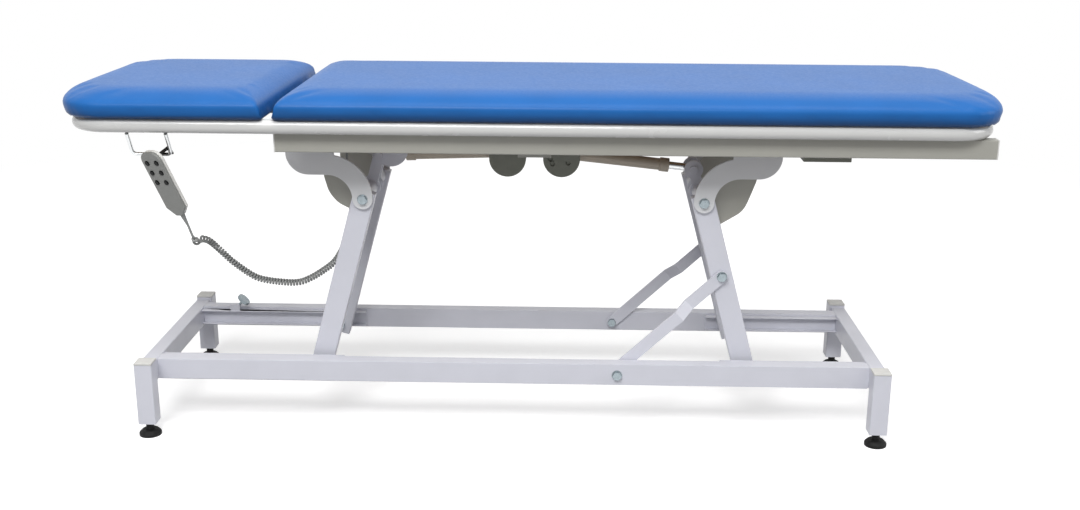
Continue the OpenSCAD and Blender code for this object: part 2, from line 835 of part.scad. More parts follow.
module pivot_bolts() {
    head = plate_outside + bolt_head_height;
    color(zinc) both_sides() for (x = [left_pivot_x, right_pivot_x]) {
        bar_across(x, pivot_z, leg_inside - nut_height, plate_outside + plate_gap / 2, pivot_bolt);
        hex_across(x, pivot_z, plate_outside + plate_gap / 2, head, bolt_head_flats);
        hex_across(x, pivot_z, leg_inside - fit_gap - nut_height, leg_inside - fit_gap, bolt_head_flats);
        ring_across(x, pivot_z, plate_outside, plate_outside + plate_gap / 2, washer_diameter, pivot_bolt);
        ring_across(x, pivot_z, leg_outside + fit_gap, plate_inside, washer_diameter, pivot_bolt);
    }
}

module control_box() {
    top = frame_top - box_height / 2;
    rib = cross_bar_width;
    inlet_y = box_width / 2;
    inlet_wide = 48;
    inlet_high = 26;
    inlet_deep = 4;
    color(housing_grey) {
        block([box_x - box_length / 2, -box_width / 2, top - box_height],
              [box_x + box_length / 2, box_width / 2, top]);
        block([box_x - rib / 2, -box_width / 2, top], [box_x + rib / 2, box_width / 2, frame_top]);
    }
    color(black_rubber) translate([box_x, inlet_y, top - box_height / 2]) difference() {
        block([-inlet_wide / 2, 0, -inlet_high / 2], [inlet_wide / 2, inlet_deep, inlet_high / 2]);
        block([inlet_deep - inlet_wide / 2, inlet_deep / 2, inlet_deep - inlet_high / 2],
              [inlet_wide / 2 - inlet_deep, inlet_deep + overrun, inlet_high / 2 - inlet_deep]);
    }
}

// Cushions and their boards

split_lean_share = 0.25;
corner_steps = 6;
long_side_points = 4;
short_side_points = 2;
side_pull = 3;
smallest_corner = 6;

// Height share and inset of each ring of a cushion, from its underside over its side to its crown
cushion_ring_shares = [
    [0.00, 0.80], [0.09, 0.25], [0.26, 0.00], [0.45, 0.23], [0.64, 0.95], [0.80, 2.10], [0.92, 3.65], [0.975, 4.95],
    [1.00, 6.70]
];
ring_inset_unit = board_inset + 1;
widest_ring_share = 0.26;

// The crown reaches less far in from the couch's ends and from the split than from its long sides
end_crown_share = 0.2;
split_crown_share = 0.55;

// Points of one side between two corners, drawn in towards a direction in its middle
function side_points(a, b, count, pull) = [
    for (i = [1 : count]) let (t = i / (count + 1)) a + (b - a) * t + pull * sin(180 * t)
];

// Points of a corner arc
function corner_points(middle, radius, start) = [
    for (i = [0 : corner_steps]) middle + radius * [cos(start + 90 * i / corner_steps), sin(start + 90 * i / corner_steps)]
];

// A cushion's outline seen from above: x0 and x1 are its ends, corners are radii at x0 and x1
function cushion_outline(x0, x1, half, corner0, corner1, pull) = concat(
    corner_points([x1 - corner1, half - corner1], corner1, 0),
    side_points([x1 - corner1, half], [x0 + corner0, half], long_side_points, [0, -pull]),
    corner_points([x0 + corner0, half - corner0], corner0, 90),
    side_points([x0, half - corner0], [x0, corner0 - half], short_side_points, [0, 0]),
    corner_points([x0 + corner0, corner0 - half], corner0, 180),
    side_points([x0 + corner0, -half], [x1 - corner1, -half], long_side_points, [0, pull]),
    corner_points([x1 - corner1, corner1 - half], corner1, 270),
    side_points([x1, corner1 - half], [x1, half - corner1], short_side_points, [0, 0])
);

outline_count = 4 * (corner_steps + 1) + 2 * long_side_points + 2 * short_side_points;

// One ring of a cushion, with the outline drawn in and lifted. The split end leans back as it rises.
function cushion_ring(head, z, rise, inset, crown, pull) =
    let (
        end_inset = inset * (crown ? end_crown_share : 1),
        split_inset = inset * (crown ? split_crown_share : 1),
        lean = split_gap / 2 + split_lean_share * rise,
        outer = couch_length / 2 - end_inset,
        x0 = head ? -outer : split_x + lean + split_inset,
        x1 = head ? split_x - lean - split_inset : outer,
        round_outer = crown ? cushion_corner : max(cushion_corner - inset, smallest_corner),
        round_split = crown ? split_corner + split_inset : max(split_corner - inset, smallest_corner)
    )
    [for (p = cushion_outline(x0, x1, couch_width / 2 - inset, head ? round_outer : round_split,
                              head ? round_split : round_outer, pull)) [p.x, p.y, z]];

// A crowned cushion with a pocket for its board in its underside
module cushion(head, bottom) {
    height = top_height - bottom;
    pocket = board_inset - fit_gap;
    rings = concat(
        [cushion_ring(head, bottom + board_thickness + fit_gap, 0, pocket, false, 0)],
        [cushion_ring(head, bottom, 0, pocket, false, 0)],
        [for (s = cushion_ring_shares)
            cushion_ring(head, bottom + s[0] * height, s[0] * height, s[1] * ring_inset_unit,
                         s[0] > widest_ring_share, side_pull)]
    );
    middle_x = (head ? split_x - couch_length / 2 : split_x + couch_length / 2) / 2;
    points = concat([for (ring = rings, p = ring) p],
                    [[middle_x, 0, bottom + board_thickness + fit_gap], [middle_x, 0, top_height]]);
    color(couch_blue) polyhedron(points, capped_faces(len(rings), outline_count));
}

module cushion_board(head, bottom) {
    reach = split_gap / 2 + board_inset;
    ends = head ? [-couch_length / 2 + board_inset, split_x - reach] : [split_x + reach, couch_length / 2 - board_inset];
    half = couch_width / 2 - board_inset;
    outer_corner = cushion_corner - board_inset / 2;
    inner_corner = split_corner - board_inset / 2;
    corners = head ? [outer_corner, inner_corner] : [inner_corner, outer_corner];
    middles = [ends[0] + corners[0], ends[1] - corners[1]];
    color(plywood) translate([0, 0, bottom]) linear_extrude(board_thickness) {
        rectangle([middles[0], -half], [middles[1], half]);
        for (end = [0, 1]) {
            side = half - corners[end];
            rectangle([min(ends[end], middles[end]), -side], [max(ends[end], middles[end]), side]);
            for (y = [-side, side]) translate([middles[end], y]) circle(r = corners[end]);
        }
    }
}

// Head hinge

head_bottom = pad_bottom + fit_gap;
hinge_z = pad_bottom - 2 * hinge_leaf;
knuckle_share = 0.4;

module hinge_fixed_leaves() {
    middle = hinge_width * knuckle_share;
    plate_drop = cross_bar_height * 0.8;
    color(zinc) for (y = [-hinge_y, hinge_y]) translate([0, y, 0]) {
        difference() {
            union() {
                block([hinge_bar_face - hinge_leaf, -hinge_width / 2, frame_top + fit_gap],
                      [hinge_bar_face, hinge_width / 2, frame_top + plate_drop]);
                block([split_x, -middle / 2, hinge_z - hinge_knuckle / 2],
                      [hinge_bar_face, middle / 2, hinge_z - hinge_knuckle / 2 + hinge_leaf]);
                bar_across(split_x, hinge_z, -middle / 2, middle / 2, hinge_knuckle);
            }
            bar_across(split_x, hinge_z, -hinge_width, hinge_width, hinge_pin + 2 * run_gap);
        }
        bar_across(split_x, hinge_z, -hinge_width / 2, hinge_width / 2, hinge_pin);
    }
}

module hinge_moving_leaves() {
    middle = hinge_width * knuckle_share + 2 * fit_gap;
    finger = hinge_knuckle / 2 + hinge_leaf;
    color(zinc) for (y = [-hinge_y, hinge_y]) translate([0, y, 0]) difference() {
        union() {
            block([split_x - hinge_leaf_length, -hinge_width / 2, head_bottom - hinge_leaf],
                  [split_x, hinge_width / 2, head_bottom]);
            bar_across(split_x, hinge_z, -hinge_width / 2, hinge_width / 2, hinge_knuckle);
        }
        block([split_x - finger, -middle / 2, hinge_z - hinge_knuckle],
              [split_x + hinge_knuckle, middle / 2, head_bottom + overrun]);
        block([split_x, -hinge_width, hinge_z + hinge_knuckle / 2],
              [split_x + hinge_knuckle, hinge_width, head_bottom + overrun]);
        bar_across(split_x, hinge_z, -hinge_width, hinge_width, hinge_pin + 2 * run_gap);
    }
}

// Actuators, drawn on the foot side from their rear pin and mirrored for the head side

tube_reaches = [head_tube_reach, foot_tube_reach];
actuator_runs = [for (reach = [head_crank_reach, foot_crank_reach]) [
    right_pivot_x - reach * sin(leg_lean) - pivot_middle - rear_pin_offset,
    pivot_z + reach * cos(leg_lean) - rear_pin_z
]];
actuator_lengths = [for (run = actuator_runs) norm(run)];
actuator_slopes = [for (run = actuator_runs) atan2(run.y, run.x)];
housing_behind_pin = 10;
housing_over_pin = 28;
housing_corner = housing_length / 2;
housing_drop = 57;
recess_depth = 4;
recess_diameter = 10;

// The children in the actuator's place: head side when side is 0, foot side when it is 1
module actuator_side(side) {
    translate([pivot_middle, 0, 0]) mirror([1 - side, 0, 0]) translate([rear_pin_offset, 0, rear_pin_z]) children();
}

// The children along the actuator's sloping axis, from its rear pin out
module on_actuator(side) {
    actuator_side(side) rotate([0, -actuator_slopes[side], 0]) children();
}

module gear_housing(side) {
    front = housing_length - housing_behind_pin;
    recesses = [[12, -25], [48.6, -22.5], [7, -13]];
    color(housing_grey) actuator_side(side) difference() {
        plate_across(-housing_width / 2, housing_width / 2) {
            rectangle([-housing_behind_pin, housing_corner - housing_drop], [front, housing_over_pin]);
            translate([front - housing_corner, housing_corner - housing_drop]) circle(r = housing_corner);
        }
        bar_across(0, 0, -housing_width, housing_width, actuator_pin + 2 * run_gap);
        rotate([0, -actuator_slopes[side], 0]) translate([housing_length / 2, 0, 0]) rotate([0, 90, 0])
            cylinder(d = outer_tube + 2 * run_gap, h = housing_length);
        if (side == 1)
            for (place = recesses)
                bar_across(place.x, place.y, -housing_width / 2 - overrun, recess_depth - housing_width / 2,
                           recess_diameter);
    }
}

motor_from_pin = 43;
motor_under_pin = 17;
motor_cap = 12;

module motor(side) {
    start = housing_width / 2;
    color(housing_grey) actuator_side(side) {
        bar_across(motor_from_pin, -motor_under_pin, start, start + motor_length - motor_cap, motor_diameter);
        bar_across(motor_from_pin, -motor_under_pin, start, start + motor_length, motor_diameter - motor_cap);
    }
}

module actuator_tube(side) {
    start = housing_length / 2 + overrun;
    bore = outer_tube - 2 * outer_tube_wall;
    tube_reach = tube_reaches[side];
    color(tube_grey) on_actuator(side) rotate([0, 90, 0]) difference() {
        union() {
            translate([0, 0, start]) cylinder(d = outer_tube, h = tube_reach - start);
            translate([0, 0, tube_reach - collar_length]) cylinder(d = tube_collar, h = collar_length);
        }
        translate([0, 0, start + outer_tube_wall]) cylinder(d = bore, h = tube_reach);
        translate([0, 0, start + outer_tube_wall]) cylinder(d = rod_diameter + 2 * run_gap, h = tube_reach);
    }
}

rod_hidden = 230;

module rod(side) {
    pin_reach = crank_inside - fit_gap;
    actuator_length = actuator_lengths[side];
    color(steel_grey) on_actuator(side) difference() {
        union() {
            rotate([0, 90, 0]) translate([0, 0, actuator_length - rod_hidden])
                cylinder(d = rod_diameter, h = rod_hidden - rod_eye / 2);
            bar_across(actuator_length, 0, -rod_eye_width / 2, rod_eye_width / 2, 2 * rod_eye);
        }
        bar_across(actuator_length, 0, -rod_eye_width, rod_eye_width, actuator_pin + 2 * run_gap);
    }
    color(zinc) on_actuator(side)
        bar_across(actuator_length, 0, -pin_reach, pin_reach, actuator_pin);
}

// Handset, in its own frame: +X across it, -Z down it, -Y out of its front

handset_inside_tube = 16;
handset_drop = 133;
handset_place = [handset_from_end - couch_length / 2, handset_inside_tube - tube_y, tube_z - handset_drop];
handset_yaw = -28.4;
handset_lean = 21.7;
handset_roll = -7.8;
button_travel = 1.5;
button_collar = 1;
first_row_from_top = 25.3;
sleeve_offset = 3;
sleeve_length = 30;
sleeve_wide = 11;
shell_split = handset_thickness / 2;

// The children in the handset's place on its hanger
module in_handset() {
    translate(handset_place) rotate([0, 0, handset_yaw]) rotate([handset_lean, 0, 0]) rotate([0, handset_roll, 0])
        children();
}

// A point of the handset's own frame, in the couch's frame
function spun(p, turn_y) = [p.x * cos(turn_y) + p.z * sin(turn_y), p.y, p.z * cos(turn_y) - p.x * sin(turn_y)];
function tipped(p, turn_x) = [p.x, p.y * cos(turn_x) - p.z * sin(turn_x), p.y * sin(turn_x) + p.z * cos(turn_x)];
function turned(p, turn_z) = [p.x * cos(turn_z) - p.y * sin(turn_z), p.x * sin(turn_z) + p.y * cos(turn_z), p.z];
function from_handset(p) = handset_place + turned(tipped(spun(p, handset_roll), handset_lean), handset_yaw);

// Place of a button's middle on the handset's front, counted left to right and from the top down
function button_place(i) = [
    (i % 2 == 0 ? -1 : 1) * button_column / 2,
    handset_length / 2 - first_row_from_top - floor(i / 2) * button_row
];

// The handset's outline, drawn in by an inset: round corners, and the two lower ones cut off as well
module handset_outline(inset) {
    wide = handset_width / 2 - inset;
    high = handset_length / 2 - inset;
    cut = handset_taper - inset * (2 - sqrt(2));
    intersection() {
        round_rectangle(2 * wide, 2 * high, handset_corner - inset);
        polygon([[cut - wide, -high], [wide - cut, -high], [wide, cut - high], [wide, high],
                 [-wide, high], [-wide, cut - high]]);
    }
}

// A shell of the handset between two depths, open on one side
module handset_shell(front, back, open_front) {
    difference() {
        plate_across(front, back) handset_outline(0);
        plate_across(front + (open_front ? -overrun : handset_wall), back + (open_front ? -handset_wall : overrun))
            handset_outline(handset_wall);
    }
}

module handset_front() {
    color(handset_grey) in_handset() difference() {
        handset_shell(0, shell_split, false);
        for (i = [0 : 5])
            translate([button_place(i).x, 0, button_place(i).y])
                bar_across(0, 0, -overrun, shell_split, button_diameter + 2 * fit_gap);
    }
}

hook_wide = 12;
hook_thick = 4;
hook_offset = 10;
hook_drop = 62.5;
hook_reach = 38;
hook_tip = 19;

module handset_back() {
    hook_low = [hook_offset - hook_wide / 2, handset_thickness, hook_drop];
    color(cap_white) in_handset() difference() {
        handset_shell(shell_split, handset_thickness, true);
        bar_between([sleeve_offset, shell_split, -handset_length], [sleeve_offset, shell_split, 0],
                    sleeve_wide + 2 * run_gap);
    }
    color(black_rubber) in_handset() {
        block(hook_low, hook_low + [hook_wide, hook_reach, hook_thick]);
        block(hook_low + [0, hook_reach - hook_thick, -hook_tip + hook_thick],
              hook_low + [hook_wide, hook_reach, hook_thick]);
    }
}

module handset_sleeve() {
    color(black_rubber) in_handset() translate([sleeve_offset, shell_split, -handset_length / 2])
        rotate([180, 0, 0]) cylinder(d1 = sleeve_wide, d2 = cord_diameter + 2 * run_gap + overrun, h = sleeve_length);
}

module button(i) {
    place = button_place(i - 1);
    color(black_rubber) in_handset() translate([place.x, 0, place.y]) {
        bar_across(0, 0, -button_height, handset_wall + fit_gap, button_diameter);
        bar_across(0, 0, handset_wall + fit_gap, handset_wall + fit_gap + button_collar,
                   button_diameter + 2 * button_collar);
    }
}

hanger_lean = 29;
hanger_from_handset = 22.5;
hanger_bend = 10;

module handset_hanger() {
    slant = atan2(hanger_lean, hanger_depth);
    leg = norm([hanger_lean, hanger_depth]) - hanger_bend;
    half = hanger_width / 2 - hanger_bend;
    top = tube_z - tube_diameter / 2 - run_gap - hanger_wire / 2 * sin(slant);
    color(zinc) translate([handset_place.x - hanger_from_handset, -tube_y, top]) rotate([slant, 0, 0]) {
        for (side = [0, 1]) mirror([side, 0, 0]) {
            translate([half + hanger_bend, 0, -leg]) cylinder(d = hanger_wire, h = leg);
            translate([half, 0, -leg]) rotate([90, 0, 0]) rotate([0, 0, -90])
                rotate_extrude(angle = 90) translate([hanger_bend, 0]) circle(d = hanger_wire);
        }
        translate([-half, 0, -leg - hanger_bend]) rotate([0, 90, 0]) cylinder(d = hanger_wire, h = 2 * half);
    }
}

// Curly cord: a route by hand, then a helix round it

cord_places = [
    [-744, -229, 465], [-742, -205, 447], [-746, -160, 443], [-742, -112, 424],
    [-724, -95, 398], [-698, -95, 372], [-655, -95, 340], [-629, -95, 329],
    [-588, -95, 323], [-548, -95, 322], [-520, -95, 331], [-488, -95, 350],
    [-456, -95, 376], [-434, -95, 414], [-421, -95, 455]
];
lead_places = [
    [-421, -95, 455], [-420, -95, 474], [-428, -95, 496], [-434, -95, 515], [-435, -95, 535],
    [-433, -95, 560], [-428, -95, 590], [-423, -95, 625], [-420, -95, 655], [-420, -95, 679]
];
curl_count = 72;
rings_per_curl = 8;
cord_sides = 6;
lead_sides = 8;
spline_steps = 8;
curl_bunch_share = 0.3;
straight_end_share = 0.6;

// A smooth curve through a list of points
function spline_point(p, i, t) =
    let (a = p[max(i - 1, 0)], b = p[i], c = p[i + 1], d = p[min(i + 2, len(p) - 1)])
    0.5 * (2 * b + (c - a) * t + (2 * a - 5 * b + 4 * c - d) * t * t + (3 * b - a - 3 * c + d) * t * t * t);
function spline(p, steps) = concat(
    [for (i = [0 : len(p) - 2], k = [0 : steps - 1]) spline_point(p, i, k / steps)],
    [p[len(p) - 1]]
);

// Length along a list of points up to each of them
function running_length(p) = [
    for (i = 0, s = 0; i < len(p); i = i + 1, s = s + (i < len(p) ? norm(p[i] - p[i - 1]) : 0)) s
];

// One table for each axis, of the place by the length along the route
function route_tables(p) = let (s = running_length(p)) [
    for (axis = [0 : 2]) [for (i = [0 : len(p) - 1]) [s[i], p[i][axis]]]
];
function route_at(tables, s) = [for (axis = [0 : 2]) lookup(s, tables[axis])];
function unit(v) = v / norm(v);

// A ring of points about a place on a tube, square to its direction
function tube_ring(place, along, radius, sides) =
    let (side = unit(cross(along, [0, 1, 0.02])), up = cross(side, along))
    [for (k = [0 : sides - 1]) place + radius * (cos(360 * k / sides) * side + sin(360 * k / sides) * up)];

cord_route = spline(concat([from_handset([sleeve_offset, shell_split, -handset_length / 2 - sleeve_length])],
                           cord_places), spline_steps);
cord_tables = route_tables(cord_route);
cord_run = running_length(cord_route)[len(cord_route) - 1];
curl_radius = (curl_diameter - cord_diameter) / 2;

// Share of the curls made by a share of the route: they lie closer where the cord hangs
function curl_phase(u) = u - curl_bunch_share * sin(360 * u) / (2 * PI);

// Centre of the wire at a share of the route
function curl_point(u) =
    let (
        s = u * cord_run,
        step = cord_diameter,
        along = unit(route_at(cord_tables, min(s + step, cord_run)) - route_at(cord_tables, max(s - step, 0))),
        side = unit(cross(along, [0, 1, 0.02])),
        up = cross(side, along),
        turn = 360 * curl_count * curl_phase(u),
        open = min(1, max(0, curl_count * min(u, 1 - u) - straight_end_share)),
        radius = curl_radius * open
    )
    route_at(cord_tables, s) + radius * (cos(turn) * side + sin(turn) * up);

curl_points = [
    for (i = [0 : curl_count * rings_per_curl]) curl_point(i / (curl_count * rings_per_curl))
];

// Least distance between two stretches of the wire more than half a curl apart, less the wire itself
function least_gap(points) = min([
    for (i = [0 : len(points) - 1 - rings_per_curl / 2])
        for (j = [i + rings_per_curl - 3 : min(i + 3 * rings_per_curl, len(points) - 1)])
            norm(points[i] - points[j])
]) - cord_diameter;

module swept_tube(points, diameter, sides) {
    last = len(points) - 1;
    rings = [
        for (i = [0 : last])
            tube_ring(points[i], unit(points[min(i + 1, last)] - points[max(i - 1, 0)]), diameter / 2, sides)
    ];
    polyhedron([for (ring = rings, p = ring) p], swept_faces(len(rings), sides));
}

module handset_cord() {
    echo(curly_cord_least_gap = least_gap(curl_points));
    echo(curly_cord_length = running_length(curl_points)[len(curl_points) - 1]);
    color(cord_grey) swept_tube(curl_points, cord_diameter, cord_sides);
}

lead_steps = 3;

module cord_lead() {
    color(cord_grey) swept_tube(spline(lead_places, lead_steps), cord_diameter, lead_sides);
}

module handset_gland() {
    foot = lead_places[len(lead_places) - 1];
    gland_wide = 12;
    color(black_rubber) translate(foot) cylinder(d1 = gland_wide * 0.7, d2 = gland_wide, h = frame_top - foot.z);
}

base_posts();
post_caps();
base_rails();
roller_tracks();
link_base_bolts();
foot(post_x[0], -post_y);  // foot_head_near
foot(post_x[0], post_y);  // foot_head_far
foot(post_x[1], -post_y);  // foot_end_near
foot(post_x[1], post_y);  // foot_end_far
clamp_knob();
links();
link_bolts();
axles(right_roller_x);  // right_axles
rollers(right_roller_x);  // right_rollers
leg_pair(right_roller_x, -leg_lean);  // right_legs
leg_bushes(right_roller_x, -leg_lean);  // right_leg_bushes
crank_tube(right_roller_x, -leg_lean, foot_crank_reach, foot_crank_lobe, foot_crank_lobe_radius);  // right_crank_tube
axles(left_roller_x);  // left_axles
rollers(left_roller_x);  // left_rollers
leg_pair(left_roller_x, leg_lean);  // left_legs
leg_bushes(left_roller_x, leg_lean);  // left_leg_bushes
crank_tube(left_roller_x, leg_lean, head_crank_reach, head_crank_lobe, head_crank_lobe_radius);  // left_crank_tube
frame_tubes();
frame_corner_bends();
side_rails();
rail_end_caps();
bearer_rails();
cross_bars();
actuator_lugs();
pivot_plates();
guard_plates();
pivot_bolts();
cushion_board(false, pad_bottom);  // main_board
cushion(false, pad_bottom);  // main_cushion
control_box();
hinge_fixed_leaves();
cushion_board(true, head_bottom);  // head_board
cushion(true, head_bottom);  // head_cushion
hinge_moving_leaves();
gear_housing(1);  // right_gear_housing
motor(1);  // right_motor
actuator_tube(1);  // right_outer_tube
rod(1);  // right_rod
gear_housing(0);  // left_gear_housing
motor(0);  // left_motor
actuator_tube(0);  // left_outer_tube
rod(0);  // left_rod
handset_hanger();
handset_front();
handset_back();
handset_sleeve();
button(1);  // button_1
button(2);  // button_2
button(3);  // button_3
button(4);  // button_4
button(5);  // button_5
button(6);  // button_6
handset_cord();
cord_lead();
handset_gland();
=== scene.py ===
import json
import math
from collections import namedtuple

import bmesh
import bpy
from mathutils import Matrix, Vector, noise


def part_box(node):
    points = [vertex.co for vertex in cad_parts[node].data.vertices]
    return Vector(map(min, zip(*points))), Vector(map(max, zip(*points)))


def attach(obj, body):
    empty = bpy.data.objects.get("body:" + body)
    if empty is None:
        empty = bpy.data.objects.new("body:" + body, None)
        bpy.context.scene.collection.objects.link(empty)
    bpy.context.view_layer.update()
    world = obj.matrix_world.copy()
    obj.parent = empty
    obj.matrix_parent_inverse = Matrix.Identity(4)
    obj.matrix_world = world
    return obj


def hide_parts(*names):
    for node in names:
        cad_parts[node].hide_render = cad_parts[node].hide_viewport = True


bl_info = {
    "name": "Electric examination couch",
    "version": (1, 0, 0),
    "blender": (4, 5, 0),
    "location": "View3D > Sidebar > Couch",
    "description": "Upholsters and finishes the frame of an electric examination couch",
    "category": "Add Mesh",
}

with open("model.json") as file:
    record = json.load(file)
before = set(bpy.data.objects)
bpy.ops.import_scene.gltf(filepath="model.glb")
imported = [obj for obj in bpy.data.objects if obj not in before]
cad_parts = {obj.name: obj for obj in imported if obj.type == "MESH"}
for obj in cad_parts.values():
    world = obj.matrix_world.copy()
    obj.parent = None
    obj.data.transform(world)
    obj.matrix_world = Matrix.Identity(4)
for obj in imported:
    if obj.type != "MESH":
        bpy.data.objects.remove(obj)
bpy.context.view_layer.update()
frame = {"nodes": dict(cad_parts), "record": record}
NODES = frame["nodes"]
BODY_OF = {node: body for body, nodes in frame["record"]["behaviour"]["bodies"].items() for node in nodes}
SLOT_OF = {part["node"]: part["material_slot"] for part in frame["record"]["subparts"]}

MM = 0.001
MERGE_DISTANCE = 0.01 * MM
# Triangles that meet flatter than this are one face
FLAT_ANGLE = math.radians(0.3)
# Faces that meet at more than this keep a sharp edge in their shading
SMOOTH_ANGLE = math.radians(32)
# Edges sharper than this are rounded
EDGE_ANGLE = math.radians(35)

# Places in the photograph's frame, 1080 by 510 pixels, give this camera
IMAGE_WIDTH = 1080
FOCAL_PIXELS = 1252.01
CAMERA_PLACE = Vector((0.0796, -2.8895, 1.1958))
CAMERA_YAW = math.radians(1.186)
CAMERA_PITCH = math.radians(15.970)
CAMERA_ROLL = math.radians(-0.380)

# The curly cord's route, in metres, from the end of the hand control's sleeve to its plain lead
CORD_PLACES = [
    (-0.744, -0.229, 0.465), (-0.742, -0.205, 0.447), (-0.746, -0.160, 0.443), (-0.742, -0.112, 0.424),
    (-0.724, -0.095, 0.398), (-0.698, -0.095, 0.372), (-0.655, -0.095, 0.340), (-0.629, -0.095, 0.329),
    (-0.588, -0.095, 0.323), (-0.548, -0.095, 0.322), (-0.520, -0.095, 0.331), (-0.488, -0.095, 0.350),
    (-0.456, -0.095, 0.376), (-0.434, -0.095, 0.414), (-0.421, -0.095, 0.455),
]
# The plain lead's route, from there up to the gland under the top
LEAD_PLACES = [
    (-0.421, -0.095, 0.455), (-0.418, -0.095, 0.474), (-0.417, -0.095, 0.496), (-0.417, -0.095, 0.515),
    (-0.417, -0.095, 0.535), (-0.419, -0.095, 0.560), (-0.420, -0.095, 0.590), (-0.420, -0.095, 0.625),
    (-0.420, -0.095, 0.655), (-0.420, -0.095, 0.679),
]


def linear(hex_colour):
    """An sRGB colour written in hex, as linear RGBA."""
    channels = [int(hex_colour[i:i + 2], 16) / 255 for i in (1, 3, 5)]
    return tuple(c / 12.92 if c <= 0.04045 else ((c + 0.055) / 1.055) ** 2.4 for c in channels) + (1.0,)


def colour(name, description, hex_colour):
    """A colour that a user may change."""
    return bpy.props.FloatVectorProperty(
        name=name, description=description, default=linear(hex_colour), subtype="COLOR", size=4, min=0,
        max=1)


def length(name, description, default):
    """A length in metres that a user may change."""
    return bpy.props.FloatProperty(
        name=name, description=description, default=default, min=0, unit="LENGTH")


class CouchColours(bpy.types.PropertyGroup):
    """Colours of the couch's finishes."""
    powder_coat: colour("White powder coat", "Floor frame, legs and links", "#d3d4dd")
    grey_coat: colour("Grey powder coat", "Side rails, rounded plates and lugs", "#a2a199")
    plate_coat: colour("Pale grey powder coat", "Pivot plates", "#dbdcde")
    tube_enamel: colour("Tube enamel", "Bumper tube round the top", "#cbcbc9")
    zinc: colour("Zinc", "Bolts, nuts and knob", "#8d979c")
    chrome: colour("Chromed steel", "Actuator rods and hanger", "#c9cbcc")
    rubber: colour("Rubber", "Feet and sleeves", "#171717")
    cap: colour("Light plastic", "Post caps, rail caps and the hand control's back", "#d3d2ce")
    leather: colour("Artificial leather", "Both cushions", "#1f5fa3")
    plywood: colour("Plywood", "Boards under the cushions", "#b9946a")
    polyamide: colour("Polyamide", "Gear housings, motors and control box", "#696b61")
    tube_grey: colour("Warm grey enamel", "Actuator tubes", "#b3a898")
    abs_grey: colour("Grey ABS", "Front of the hand control", "#7f807d")
    keys: colour("Silicone keys", "Keys of the hand control", "#101112")
    cord: colour("Polyurethane", "Curly cord", "#868887")


class CouchSizes(bpy.types.PropertyGroup):
    """Sizes of what is added to the couch's frame."""
    tube_corner: length("Tube corner", "Outer corner radius of the square tubes", 3.0 * MM)
    cut_edge: length("Cut edge", "Radius on the frame's cut edges", 0.5 * MM)
    cushion_voxel: length("Cushion voxel", "Size of the mesh that the cushions are padded with", 8.0 * MM)
    cushion_swell: length("Cushion swell", "How far the padding may push the leather out", 2.2 * MM)
    side_crown: length("Side crown", "How far the cushions round inwards from their long sides", 100.0 * MM)
    end_crown: length("End crown", "How far the cushions round inwards from the couch's ends", 20.0 * MM)
    split_crown: length("Split crown", "How far the cushions round away from the split", 42.0 * MM)
    under_tuck: length("Under tuck", "How far the cushions' lower edges are drawn in", 13.0 * MM)
    end_bow: length("End bow", "How far the ends' corners stand back from their middles", 6.0 * MM)
    split_bulge: length("Split bulge", "How far the leather bulges into the split", 1.5 * MM)
    leather_wrap: length("Leather wrap", "How far the leather goes under the boards", 28.0 * MM)
    pucker_depth: length("Pucker depth", "Depth of the folds along the cushions' lower edges", 1.6 * MM)
    curl_count: bpy.props.IntProperty(
        name="Curls", description="Turns of the curly cord", default=68, min=10)
    curl_diameter: length("Curl diameter", "Outer diameter of the cord's curls", 17.0 * MM)
    cord_diameter: length("Cord diameter", "Diameter of the cord itself", 5.5 * MM)


# Selection and placing

def deselect():
    """Nothing is selected and no object is being edited."""
    if bpy.context.mode != "OBJECT":
        bpy.ops.object.mode_set(mode="OBJECT")
    bpy.ops.object.select_all(action="DESELECT")


def activate(piece):
    """Only this piece is selected and active."""
    deselect()
    piece.select_set(True)
    bpy.context.view_layer.objects.active = piece


def start_edit(piece):
    """Opens the piece in edit mode with nothing selected."""
    activate(piece)
    bpy.ops.object.mode_set(mode="EDIT")
    bpy.ops.mesh.select_mode(type="EDGE")
    bpy.ops.mesh.select_all(action="DESELECT")


def select_edges(piece, wanted):
    """Selects the edges that pass the test, in edit mode."""
    mesh = bmesh.from_edit_mesh(piece.data)
    for edge in mesh.edges:
        if wanted(edge):
            edge.select_set(True)
    bmesh.update_edit_mesh(piece.data)


def apply_modifier(piece, kind, **settings):
    """Adds a modifier with its settings and applies it."""
    activate(piece)
    modifier = piece.modifiers.new(kind.title(), kind)
    for name, value in settings.items():
        setattr(modifier, name, value)
    bpy.ops.object.modifier_apply(modifier=modifier.name)


def smooth(piece, angle=SMOOTH_ANGLE):
    """Smooth faces with sharp edges where they meet at more than the angle."""
    activate(piece)
    bpy.ops.object.shade_smooth_by_angle(angle=angle)


def outward(piece):
    """Faces point outwards, after doubles are merged."""
    start_edit(piece)
    bpy.ops.mesh.select_all(action="SELECT")
    bpy.ops.mesh.remove_doubles(threshold=MERGE_DISTANCE)
    bpy.ops.mesh.normals_make_consistent(inside=False)
    bpy.ops.object.mode_set(mode="OBJECT")


def mount(piece, name, body, slot, material=None, replaces=()):
    """Names the piece, finishes it and lets it ride on its body."""
    piece.name = name
    piece.data.name = name
    piece.data.materials.clear()
    piece.data.materials.append(material or finish(slot))
    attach(piece, body)
    if replaces:
        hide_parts(*replaces)
    return piece


def middle_of(node):
    """The middle of a node's box."""
    low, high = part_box(node)
    return (low + high) / 2


# Nodes of materials

